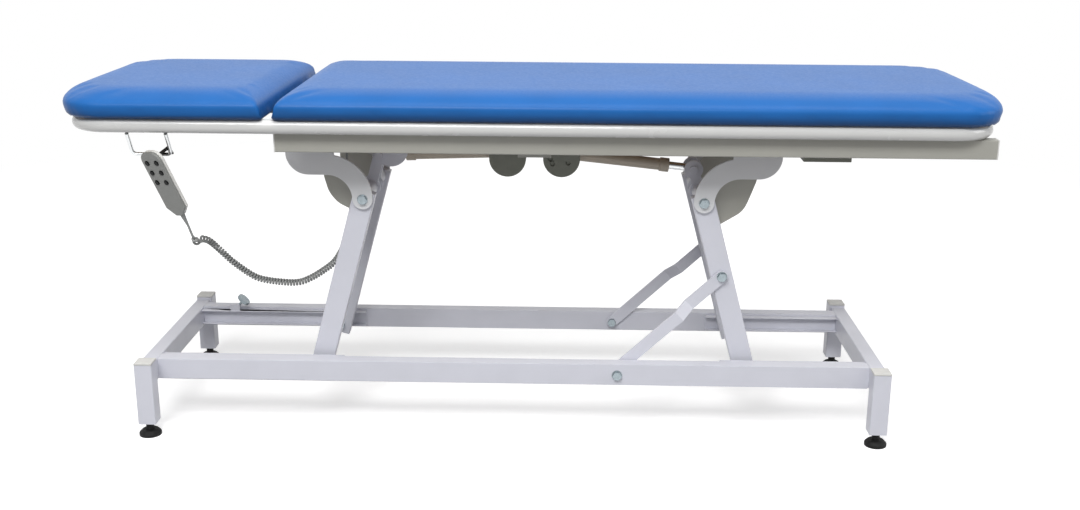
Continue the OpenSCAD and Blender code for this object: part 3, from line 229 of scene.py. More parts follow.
def add_node(owner, kind, inputs=(), **settings):
    """Adds a node to a material or world, and fills its inputs with values or other nodes' outputs."""
    made = owner.node_tree.nodes.new(kind)
    for name, value in settings.items():
        setattr(made, name, value)
    for socket, value in dict(inputs).items():
        if isinstance(value, bpy.types.NodeSocket):
            owner.node_tree.links.new(value, made.inputs[socket])
        else:
            made.inputs[socket].default_value = value
    return made


def start_material(name, **surface):
    """A material with its shader, whose uniform values are set on the shader's own sockets."""
    material = bpy.data.materials.new(name)
    material.use_nodes = True
    shader = material.node_tree.nodes["Principled BSDF"]
    for socket, value in surface.items():
        shader.inputs[socket.replace("_", " ")].default_value = value
    return material, shader


def work_in(material, socket, kind, other, operation):
    """Adds or multiplies another output into what already feeds a socket."""
    first = socket.links[0].from_socket
    mixed = add_node(material, kind, {0: first, 1: other}, operation=operation)
    material.node_tree.links.new(mixed.outputs[0], socket)


# A grain is a noise on the object's own coordinates: the size of its specks, its detail and its stretch
Grain = namedtuple("Grain", "size detail stretch", defaults=(2.0, (1, 1, 1)))
# The share by which the colour goes up and down along its grain
Tone = namedtuple("Tone", "grain spread")
# The lowest and highest roughness along its grain
Gloss = namedtuple("Gloss", "grain low high")
# The height of the surface along its grain, and the share of it that shows
Relief = namedtuple("Relief", "grain depth strength")

# Most of a noise lies between these two values
NOISE_LOW = 0.3
NOISE_HIGH = 0.7


def grained_surface(name, base, tone, gloss, relief=None, **surface):
    """A material whose colour, roughness and height each follow a grain of a real size."""
    material, shader = start_material(name, **surface)
    links = material.node_tree.links
    place = add_node(material, "ShaderNodeTexCoord")
    patterns = []
    for part in (tone, gloss, relief):
        if part is None:
            continue
        grain = part.grain
        turned = add_node(material, "ShaderNodeMapping", {
            "Vector": place.outputs["Object"], "Scale": grain.stretch})
        specks = add_node(material, "ShaderNodeTexNoise", {
            "Vector": turned.outputs["Vector"], "Scale": 1 / grain.size, "Detail": grain.detail})
        patterns.append(specks.outputs["Fac"])
    ramp = add_node(material, "ShaderNodeValToRGB", {"Fac": patterns[0]})
    ends = ((NOISE_LOW, 1 - tone.spread), (NOISE_HIGH, 1 + tone.spread))
    for element, (position, share) in zip(ramp.color_ramp.elements, ends):
        element.position = position
        element.color = [min(1, channel * share) for channel in base[:3]] + [1]
    links.new(ramp.outputs["Color"], shader.inputs["Base Color"])
    roughness = add_node(material, "ShaderNodeMapRange", {
        "Value": patterns[1], "From Min": NOISE_LOW, "From Max": NOISE_HIGH,
        "To Min": gloss.low, "To Max": gloss.high})
    links.new(roughness.outputs["Result"], shader.inputs["Roughness"])
    if relief:
        bump = add_node(material, "ShaderNodeBump", {
            "Height": patterns[2], "Distance": relief.depth, "Strength": relief.strength})
        links.new(bump.outputs["Normal"], shader.inputs["Normal"])
    return material, shader


# Finishes

LEATHER_PEBBLE = 2.6 * MM
# Painted shade: the leather's colour darkens downwards between these heights, where it turns under towards
# its board and lies in its own shadow
PAINTED_SHADE_HEIGHTS = (0.742, 0.764)
PAINTED_SHADE_TONE = 0.42
PLY_PAIR = 3.0 * MM
# A wave texture repeats this many times over one unit of its scale
WAVE_BANDS = 20.0
PLY_WAVE = 0.3


def powder_coat(name, base):
    # Polyester powder coat: even and half glossy, with a faint orange peel, drawn at 3 mm so that it shows
    return grained_surface(
        name, base, Tone(Grain(60 * MM), 0.02), Gloss(Grain(25 * MM), 0.34, 0.42),
        Relief(Grain(3.0 * MM, 3.0), 0.06 * MM, 0.5), Metallic=0.0, IOR=1.5)[0]


def white_powder_coat(colours):
    # The cool white of the floor frame and the legs
    return powder_coat("white_powder_coat", colours.powder_coat)


def grey_powder_coat(colours):
    # The warm grey of the rails and rounded plates under the top
    return powder_coat("grey_powder_coat", colours.grey_coat)


def pale_powder_coat(colours):
    # The pivot plates' paler grey
    return powder_coat("pale_powder_coat", colours.plate_coat)


def gloss_tube_enamel(colours):
    # Glossy white enamel over bent steel tube: a clear reflection, with very slight waves
    return grained_surface(
        "gloss_tube_enamel", colours.tube_enamel, Tone(Grain(90 * MM), 0.012),
        Gloss(Grain(40 * MM), 0.20, 0.28), Relief(Grain(30.0 * MM), 0.02 * MM, 0.2),
        Metallic=0.0, IOR=1.5, Coat_Weight=0.4, Coat_Roughness=0.08)[0]


def zinc_plated_steel(colours):
    # Zinc plate: a bright bluish metal with cloudy patches of 6 mm
    return grained_surface(
        "zinc_plated_steel", colours.zinc, Tone(Grain(6.0 * MM, 3.0), 0.10),
        Gloss(Grain(2.5 * MM, 3.0), 0.24, 0.42), Relief(Grain(0.8 * MM), 0.03 * MM, 0.4), Metallic=1.0)[0]


def hard_chromed_steel(colours):
    # Ground and chromed rod steel: mirror-like, with grinding marks round the rod drawn 0.6 mm apart
    marks = Grain(0.6 * MM, 2.0, (1.0, 0.04, 0.04))
    return grained_surface(
        "hard_chromed_steel", colours.chrome, Tone(Grain(20 * MM), 0.04), Gloss(marks, 0.12, 0.24),
        Relief(marks, 0.01 * MM, 0.4), Metallic=1.0)[0]


def moulded_rubber(colours):
    # Carbon-filled rubber: nearly black and dull, with the 1.2 mm texture of its mould and some dust
    return grained_surface(
        "moulded_rubber", colours.rubber, Tone(Grain(9.0 * MM, 4.0), 0.35),
        Gloss(Grain(4.0 * MM), 0.55, 0.75), Relief(Grain(1.2 * MM), 0.10 * MM, 0.6),
        Metallic=0.0, IOR=1.52, Specular_IOR_Level=0.2)[0]


def moulded_light_plastic(colours):
    # Injection-moulded polypropylene: pale and satin, with a soft 1.5 mm texture
    return grained_surface(
        "moulded_light_plastic", colours.cap, Tone(Grain(15 * MM), 0.03),
        Gloss(Grain(5.0 * MM), 0.38, 0.50), Relief(Grain(1.5 * MM), 0.04 * MM, 0.5),
        Metallic=0.0, IOR=1.49)[0]


def artificial_leather(colours):
    # Vinyl-coated cloth: pebbles 1.6 mm across, drawn at 2.6 mm so that they show, and only a soft shine
    material, shader = grained_surface(
        "artificial_leather", colours.leather, Tone(Grain(130 * MM, 3.0), 0.045),
        Gloss(Grain(6.0 * MM, 3.0), 0.32, 0.40), Relief(Grain(1.1 * MM, 3.0), 0.16 * MM, 0.35),
        Metallic=0.0, IOR=1.42, Specular_IOR_Level=0.2)
    place = add_node(material, "ShaderNodeTexCoord")
    pebbles = add_node(material, "ShaderNodeTexVoronoi", {
        "Vector": place.outputs["Object"], "Scale": 1 / LEATHER_PEBBLE}, feature="SMOOTH_F1")
    bump = shader.inputs["Normal"].links[0].from_node
    work_in(material, bump.inputs["Height"], "ShaderNodeMath", pebbles.outputs["Distance"], "ADD")
    # Painted shade: the colour is multiplied darker towards the lower edge, standing in for the shadow
    # under the cushion's bulge
    along = add_node(material, "ShaderNodeSeparateXYZ", {"Vector": place.outputs["Object"]})
    fold = add_node(material, "ShaderNodeMapRange", {
        "Value": along.outputs["Z"], "From Min": PAINTED_SHADE_HEIGHTS[0], "From Max": PAINTED_SHADE_HEIGHTS[1],
        "To Min": PAINTED_SHADE_TONE, "To Max": 1.0}, interpolation_type="SMOOTHSTEP")
    base = shader.inputs["Base Color"]
    work_in(material, base, "ShaderNodeVectorMath", fold.outputs["Result"], "MULTIPLY")
    return material


def birch_plywood(colours):
    # Birch plywood: pale long grain on its faces, and plies 1.5 mm thick at its edges
    fibres = Grain(14 * MM, 5.0, (0.08, 1.0, 1.0))
    material, shader = grained_surface(
        "birch_plywood", colours.plywood, Tone(fibres, 0.22), Gloss(fibres, 0.55, 0.72),
        Relief(fibres, 0.08 * MM, 0.5), Metallic=0.0, IOR=1.45)
    place = add_node(material, "ShaderNodeTexCoord")
    plies = add_node(material, "ShaderNodeTexWave", {
        "Vector": place.outputs["Object"], "Scale": 1 / (WAVE_BANDS * PLY_PAIR), "Distortion": PLY_WAVE},
        bands_direction="Z")
    ramp = shader.inputs["Base Color"].links[0].from_node
    work_in(material, ramp.inputs["Fac"], "ShaderNodeMath", plies.outputs["Fac"], "MULTIPLY")
    return material


def glass_filled_polyamide(colours):
    # Glass-filled polyamide: a dull olive grey with a spark-eroded texture of 1 mm
    return grained_surface(
        "glass_filled_polyamide", colours.polyamide, Tone(Grain(18 * MM, 3.0), 0.07),
        Gloss(Grain(3.0 * MM), 0.48, 0.60), Relief(Grain(1.0 * MM), 0.08 * MM, 0.6),
        Metallic=0.0, IOR=1.53)[0]


def warm_grey_enamel(colours):
    # Enamelled steel tube: a warm half-glossy grey, with fine brush lines along the tube
    lines = Grain(0.9 * MM, 2.0, (0.03, 1.0, 1.0))
    return grained_surface(
        "warm_grey_enamel", colours.tube_grey, Tone(lines, 0.06), Gloss(lines, 0.38, 0.48),
        Relief(lines, 0.02 * MM, 0.5), Metallic=0.0, IOR=1.5)[0]


def textured_abs(colours):
    # Moulded ABS: an even grey with a fine leather-like mould texture of 0.9 mm
    return grained_surface(
        "textured_abs", colours.abs_grey, Tone(Grain(12 * MM), 0.03), Gloss(Grain(3.0 * MM), 0.42, 0.52),
        Relief(Grain(0.9 * MM), 0.04 * MM, 0.5), Metallic=0.0, IOR=1.54)[0]


def silicone_rubber(colours):
    # Pressed silicone keys: black with a soft satin shine and a little grease from fingers
    return grained_surface(
        "silicone_rubber", colours.keys, Tone(Grain(3.0 * MM), 0.25), Gloss(Grain(2.0 * MM), 0.30, 0.48),
        Metallic=0.0, IOR=1.43, Specular_IOR_Level=0.12)[0]


def polyurethane_cord(colours):
    # Polyurethane jacket: smooth, half glossy and slightly blotchy from handling
    return grained_surface(
        "polyurethane_cord", colours.cord, Tone(Grain(12 * MM, 3.0), 0.12),
        Gloss(Grain(6.0 * MM), 0.32, 0.46), Metallic=0.0, IOR=1.5)[0]


# Finishes by the frame's slots; plate_grey is used by name only, on the pivot plates
MAKERS = {
    "frame_white": white_powder_coat,
    "frame_grey": grey_powder_coat,
    "plate_grey": pale_powder_coat,
    "tube_white": gloss_tube_enamel,
    "zinc": zinc_plated_steel,
    "steel": hard_chromed_steel,
    "black_rubber": moulded_rubber,
    "cap_white": moulded_light_plastic,
    "upholstery": artificial_leather,
    "plywood": birch_plywood,
    "housing_grey": glass_filled_polyamide,
    "actuator_grey": warm_grey_enamel,
    "handset_grey": textured_abs,
    "button_black": silicone_rubber,
    "cord_grey": polyurethane_cord,
}
MADE = {}


def finish(key):
    """The finish of a slot, made when it is first asked for."""
    if key not in MADE:
        MADE[key] = MAKERS[key](bpy.context.scene.couch_colours)
    return MADE[key]


# Pieces taken over from the frame

# An edge longer than this runs along a tube
LONG_EDGE = 100 * MM
TUBE_SEGMENTS = 3
EDGE_SEGMENTS = 2
OUTLINE_SEGMENTS = 4
# An edge runs across a plate when this share of it is along Y
ACROSS_SHARE = 0.99
# A plate's outline is rounded where its faces meet at an angle between these two
BLUNT_CORNERS = (math.radians(8), math.radians(70))


def cad_copy(node):
    """A copy of a node with its triangles merged into whole faces."""
    mesh = NODES[node].data.copy()
    piece = bpy.data.objects.new(node + "_finished", mesh)
    bpy.context.scene.collection.objects.link(piece)
    activate(piece)
    bpy.ops.mesh.customdata_custom_splitnormals_clear()
    start_edit(piece)
    bpy.ops.mesh.select_all(action="SELECT")
    bpy.ops.mesh.remove_doubles(threshold=MERGE_DISTANCE)
    bpy.ops.mesh.dissolve_limited(angle_limit=FLAT_ANGLE)
    bpy.ops.object.mode_set(mode="OBJECT")
    return piece


def round_long_edges(piece, radius):
    """Rounds the outer edges along a tube, as rolled square tube has them."""
    start_edit(piece)
    select_edges(piece, lambda edge: len(edge.link_faces) == 2 and edge.is_convex
                 and edge.calc_length() > LONG_EDGE and edge.calc_face_angle() > EDGE_ANGLE)
    bpy.ops.mesh.bevel(offset=radius, segments=TUBE_SEGMENTS, affect="EDGES", clamp_overlap=False)
    bpy.ops.object.mode_set(mode="OBJECT")


def round_outline_corners(piece, radius):
    """Rounds a thin plate's blunt outline corners, whose edges run across the plate."""
    start_edit(piece)
    select_edges(piece, lambda edge: len(edge.link_faces) == 2 and edge.is_convex
                 and abs((edge.verts[1].co - edge.verts[0].co).normalized().y) > ACROSS_SHARE
                 and BLUNT_CORNERS[0] < edge.calc_face_angle() < BLUNT_CORNERS[1])
    bpy.ops.mesh.bevel(offset=radius, segments=OUTLINE_SEGMENTS, affect="EDGES", clamp_overlap=True)
    bpy.ops.object.mode_set(mode="OBJECT")


def finished(node, tube_edges=0.0, cut_edge=None, material=None, outline=0.0):
    """A node's finished copy: long tube edges rounded, cut edges broken, and its material."""
    if cut_edge is None:
        cut_edge = bpy.context.scene.couch_sizes.cut_edge
    piece = cad_copy(node)
    if tube_edges:
        round_long_edges(piece, tube_edges)
    if outline:
        round_outline_corners(piece, outline)
    apply_modifier(piece, "BEVEL", width=cut_edge, segments=EDGE_SEGMENTS,
                   limit_method="ANGLE", angle_limit=EDGE_ANGLE, use_clamp_overlap=False)
    smooth(piece)
    apply_modifier(piece, "WEIGHTED_NORMAL", keep_sharp=True)
    return mount(piece, node + "_finished", BODY_OF[node], SLOT_OF[node], material, replaces=[node])


def keep(node, material=None):
    """Keeps a node as it is and gives it its finish."""
    piece = NODES[node]
    piece.data.materials.clear()
    piece.data.materials.append(material or finish(SLOT_OF[node]))


# Stage

PLAIN_WHITE = (1, 1, 1, 1)
FLOOR_SIZE = 30.0
FLOOR_WHITE = linear("#f6f6f6")
FLOOR_ROUGHNESS = 0.9
# What the floor throws back on the couch is that of this plain grey
FLOOR_FOR_LIGHT = linear("#9a9a9c")
FLOOR_GLOW = 0.42
# The floor's shadows fade to white between these distances from its middle
SHADOW_REACH = (2.2, 3.6)
WORLD_STRENGTH = 0.42
# Each lamp's place, its width and depth, and its power in watts
LAMPS = {
    "top_softbox": ((0.1, -0.7, 3.8), (3.4, 1.8), 72.0),
    "front_softbox": ((-0.8, -3.5, 3.9), (2.6, 1.4), 155.0),
    "foot_softbox": ((4.0, -1.0, 1.9), (1.8, 1.8), 34.0),
}
LAMP_TARGET = Vector((0.0, 0.0, 0.5))


def make_camera():
    """The camera at the photograph's place, direction and focal length."""
    ahead = Vector((-math.sin(CAMERA_YAW), math.cos(CAMERA_YAW), 0.0))
    level_right = Vector((math.cos(CAMERA_YAW), math.sin(CAMERA_YAW), 0.0))
    forward = ahead * math.cos(CAMERA_PITCH) - Vector((0, 0, math.sin(CAMERA_PITCH)))
    level_up = ahead * math.sin(CAMERA_PITCH) + Vector((0, 0, math.cos(CAMERA_PITCH)))
    right = level_right * math.cos(CAMERA_ROLL) - level_up * math.sin(CAMERA_ROLL)
    up = level_right * math.sin(CAMERA_ROLL) + level_up * math.cos(CAMERA_ROLL)
    bpy.ops.object.camera_add()
    camera = bpy.context.active_object
    camera.name = "photo_camera"
    turned = Matrix((right, up, -forward)).transposed().to_4x4()
    camera.matrix_world = Matrix.Translation(CAMERA_PLACE) @ turned
    camera.data.lens = FOCAL_PIXELS / IMAGE_WIDTH * camera.data.sensor_width
    bpy.context.scene.camera = camera


def seen_rays(owner):
    """One where the camera, a reflection or a clear body looks, and zero where light falls."""
    rays = add_node(owner, "ShaderNodeLightPath")
    seen = add_node(owner, "ShaderNodeMath", {
        0: rays.outputs["Is Camera Ray"], 1: rays.outputs["Is Glossy Ray"]}, operation="MAXIMUM")
    seen = add_node(owner, "ShaderNodeMath", {
        0: seen.outputs["Value"], 1: rays.outputs["Is Transmission Ray"]}, operation="MAXIMUM")
    return seen.outputs["Value"]


def floor_material():
    """A white floor that keeps its shadows and throws little light back on the couch."""
    material, shader = start_material("pale_floor", Base_Color=FLOOR_WHITE, Roughness=FLOOR_ROUGHNESS)
    glow = add_node(material, "ShaderNodeEmission", {"Color": PLAIN_WHITE, "Strength": FLOOR_GLOW})
    near = add_node(material, "ShaderNodeAddShader", {
        0: shader.outputs["BSDF"], 1: glow.outputs["Emission"]})
    place = add_node(material, "ShaderNodeTexCoord")
    distance = add_node(material, "ShaderNodeVectorMath", {0: place.outputs["Object"]}, operation="LENGTH")
    far_share = add_node(material, "ShaderNodeMapRange", {
        "Value": distance.outputs["Value"], "From Min": SHADOW_REACH[0], "From Max": SHADOW_REACH[1]})
    white = add_node(material, "ShaderNodeEmission", {"Color": PLAIN_WHITE, "Strength": 1.0})
    shown = add_node(material, "ShaderNodeMixShader", {
        0: far_share.outputs["Result"], 1: near.outputs["Shader"], 2: white.outputs["Emission"]})
    plain = add_node(material, "ShaderNodeBsdfDiffuse", {"Color": FLOOR_FOR_LIGHT})
    chosen = add_node(material, "ShaderNodeMixShader", {
        0: seen_rays(material), 1: plain.outputs["BSDF"], 2: shown.outputs["Shader"]})
    output = material.node_tree.nodes["Material Output"]
    material.node_tree.links.new(chosen.outputs["Shader"], output.inputs["Surface"])
    return material


def make_floor():
    """The pale floor."""
    deselect()
    bpy.ops.mesh.primitive_plane_add(size=FLOOR_SIZE, location=(0, 0, 0))
    floor = bpy.context.active_object
    floor.name = "floor"
    floor.data.materials.append(floor_material())


def make_world():
    """An even white surround: white to the camera, at a plain level for light."""
    world = bpy.data.worlds.new("studio")
    world.use_nodes = True
    bpy.context.scene.world = world
    surround = world.node_tree.nodes["Background"]
    surround.inputs["Color"].default_value = PLAIN_WHITE
    level = add_node(world, "ShaderNodeMapRange", {
        "Value": seen_rays(world), "To Min": WORLD_STRENGTH, "To Max": 1.0})
    world.node_tree.links.new(level.outputs["Result"], surround.inputs["Strength"])


def make_lamps():
    """Soft lamps over the couch, in front of it and at its foot end."""
    for name, (place, size, power) in LAMPS.items():
        bpy.ops.object.light_add(type="AREA", location=place)
        lamp = bpy.context.active_object
        lamp.name = name
        lamp.data.shape = "RECTANGLE"
        lamp.data.size, lamp.data.size_y = size
        lamp.data.energy = power
        lamp.rotation_euler = (LAMP_TARGET - Vector(place)).to_track_quat("-Z", "Y").to_euler()


class COUCH_OT_stage(bpy.types.Operator):
    """Adds the camera, the floor, the surround and the lamps."""
    bl_idname = "couch.stage"
    bl_label = "Stage"

    def execute(self, context):
        context.scene.view_settings.view_transform = "Standard"
        make_camera()
        make_world()
        make_floor()
        make_lamps()
        return {"FINISHED"}


# Hand control's own frame: right across it, up along it, back through it

KEY_COUNT = 6
# The hook on its back starts this far behind its front face
HOOK_START = 14.6 * MM


def handset_axes():
    """Right, up and back of the hand control, from the places of its keys."""
    first, second, fifth = [middle_of("button_%d" % number) for number in (1, 2, 5)]
    right = (second - first).normalized()
    up = (first - fifth).normalized()
    back = up.cross(right).normalized()
    return right, up, back


def reach(corners, axis):
    """Least and greatest distance of a list of corners along an axis."""
    along = [corner.dot(axis) for corner in corners]
    return min(along), max(along)


def handset_place():
    """The hand control's frame as a matrix: its origin is the middle of its front face."""
    right, up, back = handset_axes()
    corners = [vertex.co for vertex in NODES["handset_front"].data.vertices]
    across = sum(reach(corners, right)) / 2
    along = sum(reach(corners, up)) / 2
    front = reach(corners, back)[0]
    origin = right * across + up * along + back * front
    turned = Matrix((right, back, up)).transposed().to_4x4()
    return Matrix.Translation(origin) @ turned


# Cord

SPLINE_STEPS = 40
POINTS_PER_CURL = 18
CORD_ROUNDING = 2
# Plain cord at both ends of the curls, and the length over which the curls reach their full width
STRAIGHT_START = 30 * MM
STRAIGHT_END = 8 * MM
CURL_OPENING = 9 * MM
# The curls are wound looser over this length below the hand control, by this share at its start
LOOSE_LENGTH = 150 * MM
LOOSE_SHARE = 0.72
# A direction that the cord never runs along
SIDE_HINT = Vector((0, 1, 0.02))


def spline_point(places, i, t):
    """A point of a smooth curve through the places, between place i and the next."""
    a = places[max(i - 1, 0)]
    b = places[i]
    c = places[i + 1]
    d = places[min(i + 2, len(places) - 1)]
    square = (2 * a - 5 * b + 4 * c - d) * t * t
    cube = (3 * b - a - 3 * c + d) * t * t * t
    return 0.5 * (2 * b + (c - a) * t + square + cube)


def spline(places, steps):
    """Points of a smooth curve through the places."""
    places = [Vector(place) for place in places]
    points = [spline_point(places, i, k / steps) for i in range(len(places) - 1) for k in range(steps)]
    return points + [places[-1]]


def running_length(points):
    """Length along the points up to each of them."""
    total = [0.0]
    for before, after in zip(points, points[1:]):
        total.append(total[-1] + (after - before).length)
    return total


def read_along(values, lengths, distance):
    """A place or number given at each point of a route, read at a distance along it."""
    distance = max(distance, 0.0)
    for i in range(1, len(values)):
        if lengths[i] >= distance:
            share = (distance - lengths[i - 1]) / (lengths[i] - lengths[i - 1])
            return values[i - 1] + (values[i] - values[i - 1]) * share
    return values[-1]


def curl_turns(route, lengths, sizes):
    """Turns wound up to each point of the route, by its sideways run, and fewer near the hand control."""
    turns = [0.0]
    for i in range(1, len(route)):
        sideways = Vector((route[i].x - route[i - 1].x, 0, route[i].z - route[i - 1].z)).length
        if lengths[i] < STRAIGHT_START:
            sideways = 0.0
        tightness = LOOSE_SHARE + (1 - LOOSE_SHARE) * min(1.0, lengths[i] / LOOSE_LENGTH)
        turns.append(turns[-1] + sideways * tightness)
    return [sizes.curl_count * turn / turns[-1] for turn in turns]


def curl_points(route, sizes):
    """Centre line of the curly cord: a helix round its route, with a plain stretch at both ends."""
    lengths = running_length(route)
    run = lengths[-1]
    turns = curl_turns(route, lengths, sizes)
    radius = (sizes.curl_diameter - sizes.cord_diameter) / 2
    count = sizes.curl_count * POINTS_PER_CURL
    points = []
    for i in range(count + 1):
        share = i / count
        distance = share * run
        ahead = read_along(route, lengths, distance + sizes.cord_diameter)
        behind = read_along(route, lengths, distance - sizes.cord_diameter)
        forward = (ahead - behind).normalized()
        side = forward.cross(SIDE_HINT).normalized()
        up = side.cross(forward)
        turn = 2 * math.pi * read_along(turns, lengths, distance)
        from_plain = min(distance - STRAIGHT_START, run - STRAIGHT_END - distance)
        opened = min(1.0, max(0.0, from_plain / CURL_OPENING))
        centre = read_along(route, lengths, distance)
        points.append(centre + radius * opened * (math.cos(turn) * side + math.sin(turn) * up))
    return points


class COUCH_OT_cord(bpy.types.Operator):
    """Adds the hand control's curly cord with its straight lead up to the frame."""
    bl_idname = "couch.cord"
    bl_label = "Curly cord"

    def execute(self, context):
        sizes = context.scene.couch_sizes
        place = handset_place()
        local = place.inverted()
        corners = [local @ vertex.co for vertex in NODES["handset_sleeve"].data.vertices]
        lowest = min(corner.z for corner in corners)
        tip = [corner for corner in corners if corner.z < lowest + MM]
        middle = sum(tip, Vector()) / len(tip)
        leaving = place @ Vector((middle.x, middle.y, lowest))
        points = curl_points(spline([leaving] + CORD_PLACES, SPLINE_STEPS), sizes)
        points += spline(LEAD_PLACES, SPLINE_STEPS)[1:]
        curve = bpy.data.curves.new("curly_cord", "CURVE")
        curve.dimensions = "3D"
        line = curve.splines.new("POLY")
        line.points.add(len(points) - 1)
        for vertex, point in zip(line.points, points):
            vertex.co = (*point, 1)
        curve.bevel_depth = sizes.cord_diameter / 2
        curve.bevel_resolution = CORD_ROUNDING
        curve.use_fill_caps = True
        cord = bpy.data.objects.new("curly_cord", curve)
        context.scene.collection.objects.link(cord)
        line.use_smooth = True
        mount(cord, "curly_cord", BODY_OF["handset_cord"], "cord_grey",
              replaces=["handset_cord", "cord_lead"])
        keep("handset_sleeve", finish("cord_grey"))
        keep("handset_gland")
        return {"FINISHED"}


# Cushions

TUCK_RINGS = 4
CROWN_RINGS = 14
CORNER_STEPS = 12
OUTER_CORNER = 90 * MM
SPLIT_CORNER = 10 * MM
# The split's faces lean back by this share of their height, so that the head section has room to tilt
SPLIT_LEAN_SHARE = 0.25
# Height at which the leather stands out furthest
BULGE_HEIGHT = 26 * MM
# How far the leather stands past its node at the ends and sides, and below its top before it is padded
END_SWELL = 9 * MM
SIDE_SWELL = 4 * MM
START_SLACK = 1.5 * MM
# The free end bows out over its last stretch only, by this power of the share along the cushion
BOW_POWER = 8
# Below this height the leather is held on its board
PIN_HEIGHT = 4 * MM
UNDER_LIFT = 0.5 * MM
# All that lies lower than this many lifts is the underside
UNDER_LIFTS = 3
CUSHION_ANGLE = math.radians(60)
VOXEL_SMOOTHING = {"factor": 0.5, "iterations": 3}

# Leather over foam: a thin skin that the foam pushes out
CLOTH_FRAMES = 20
CLOTH_SETTINGS = {
    "use_pressure": True,
    "uniform_pressure_force": 2.0,
    "quality": 4,
    "mass": 0.4,
    "tension_stiffness": 20,
    "compression_stiffness": 20,
    "bending_stiffness": 0.6,
}

# Gathers round the corners at the split: how far they reach, how high, how deep, and their number
GATHER_REACH = 46 * MM
GATHER_HEIGHT = GATHER_REACH * 0.9
GATHER_DEPTH = 1.3 * MM
GATHER_COUNT = 11

# Soft folds along the lower edges: their length, how high they reach, and how widely they spread
PUCKER_LENGTH = 38 * MM
PUCKER_REACH = 24 * MM
PUCKER_BIAS = 0.2


def round_outline(low, high, radii, height):
    """A rectangle with round corners as a ring of points; radii are those at its low and high X."""
    points = []
    for x_sign, y_sign, start in ((1, 1, 0), (-1, 1, 90), (-1, -1, 180), (1, -1, 270)):
        radius = radii[1] if x_sign > 0 else radii[0]
        x = high.x - radius if x_sign > 0 else low.x + radius
        y = high.y - radius if y_sign > 0 else low.y + radius
        for step in range(CORNER_STEPS + 1):
            angle = math.radians(start + 90 * step / CORNER_STEPS)
            points.append((x + radius * math.cos(angle), y + radius * math.sin(angle), height))
    return points


def cushion_profile(thickness):
    """Height of each ring of a cushion, and its shares of the tuck below and of the crown above."""
    profile = []
    for step in range(TUCK_RINGS):
        angle = math.radians(90 * step / TUCK_RINGS)
        profile.append((BULGE_HEIGHT * (1 - math.cos(angle)), 1 - math.sin(angle), 0.0))
    for step in range(CROWN_RINGS + 1):
        angle = math.radians(90 * step / CROWN_RINGS)
        rise = BULGE_HEIGHT + (thickness - BULGE_HEIGHT) * math.sin(angle)
        profile.append((rise, 0.0, 1 - math.cos(angle)))
    return profile


def bowed(point, low, high, split_at_low, bow):
    """A point of an outline, pushed out towards the middle of the cushion's free end."""
    x, y, z = point
    middle = (low.x + high.x) / 2
    from_middle = (x - middle) / (high.x - middle) if split_at_low else (middle - x) / (middle - low.x)
    share = max(0.0, from_middle)
    across = y / high.y
    shift = bow * share ** BOW_POWER * (1 - across * across)
    return (x + shift if split_at_low else x - shift, y, z)


def cushion_shell(name, node, split_at_low, sizes):
    """A closed cushion form: tucked in below, bulging into the split, and rounded on top."""
    low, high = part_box(node)
    low = low - Vector((0 if split_at_low else END_SWELL, SIDE_SWELL, 0))
    high = high + Vector((END_SWELL if split_at_low else 0, SIDE_SWELL, -START_SLACK))
    points = []
    rings = []
    for rise, tuck_share, crown_share in cushion_profile(high.z - low.z):
        tuck = sizes.under_tuck * tuck_share
        side = tuck + sizes.side_crown * crown_share
        end = tuck + sizes.end_bow + sizes.end_crown * crown_share
        split_round = sizes.split_crown * crown_share
        split = split_round + SPLIT_LEAN_SHARE * rise - sizes.split_bulge
        outer_corner = OUTER_CORNER - tuck
        split_corner = SPLIT_CORNER + split_round
        if split_at_low:
            near_low, near_high = split, end
            radii = (split_corner, outer_corner)
        else:
            near_low, near_high = end, split
            radii = (outer_corner, split_corner)
        ring = round_outline(Vector((low.x + near_low, low.y + side)),
                             Vector((high.x - near_high, high.y - side)), radii, low.z + rise)
        ring = [bowed(point, low, high, split_at_low, sizes.end_bow) for point in ring]
        rings.append(range(len(points), len(points) + len(ring)))
        points += ring
    faces = [list(reversed(rings[0])), list(rings[-1])]
    for lower, upper in zip(rings, rings[1:]):
        for i in range(len(lower)):
            j = (i + 1) % len(lower)
            faces.append([lower[i], lower[j], upper[j], upper[i]])
    mesh = bpy.data.meshes.new(name)
    mesh.from_pydata(points, [], faces)
    piece = bpy.data.objects.new(name, mesh)
    bpy.context.scene.collection.objects.link(piece)
    return piece


def pad(piece, bottom, swell):
    """Swells the leather over its padding by a cloth simulation, with the underside held on its board."""
    held = piece.vertex_groups.new(name="held")
    on_board = [vertex.index for vertex in piece.data.vertices if vertex.co.z < bottom + PIN_HEIGHT]
    held.add(on_board, 1.0, "REPLACE")
    start = [vertex.co.copy() for vertex in piece.data.vertices]
    cloth = piece.modifiers.new("Cloth", "CLOTH")
    for name, value in CLOTH_SETTINGS.items():
        setattr(cloth.settings, name, value)
    cloth.settings.vertex_group_mass = held.name
    cloth.settings.effector_weights.gravity = 0.0
    cloth.collision_settings.use_collision = False
    cloth.point_cache.frame_start = 1
    cloth.point_cache.frame_end = CLOTH_FRAMES
    scene = bpy.context.scene
    for step in range(1, CLOTH_FRAMES + 1):
        scene.frame_set(step)
    swollen = piece.evaluated_get(bpy.context.evaluated_depsgraph_get())
    moved = [vertex.co.copy() for vertex in swollen.data.vertices]
    piece.modifiers.remove(cloth)
    for vertex, before, after in zip(piece.data.vertices, start, moved):
        shift = after - before
        if shift.length > swell:
            shift = shift.normalized() * swell
        vertex.co = before + shift
    scene.frame_set(1)
    piece.vertex_groups.remove(held)


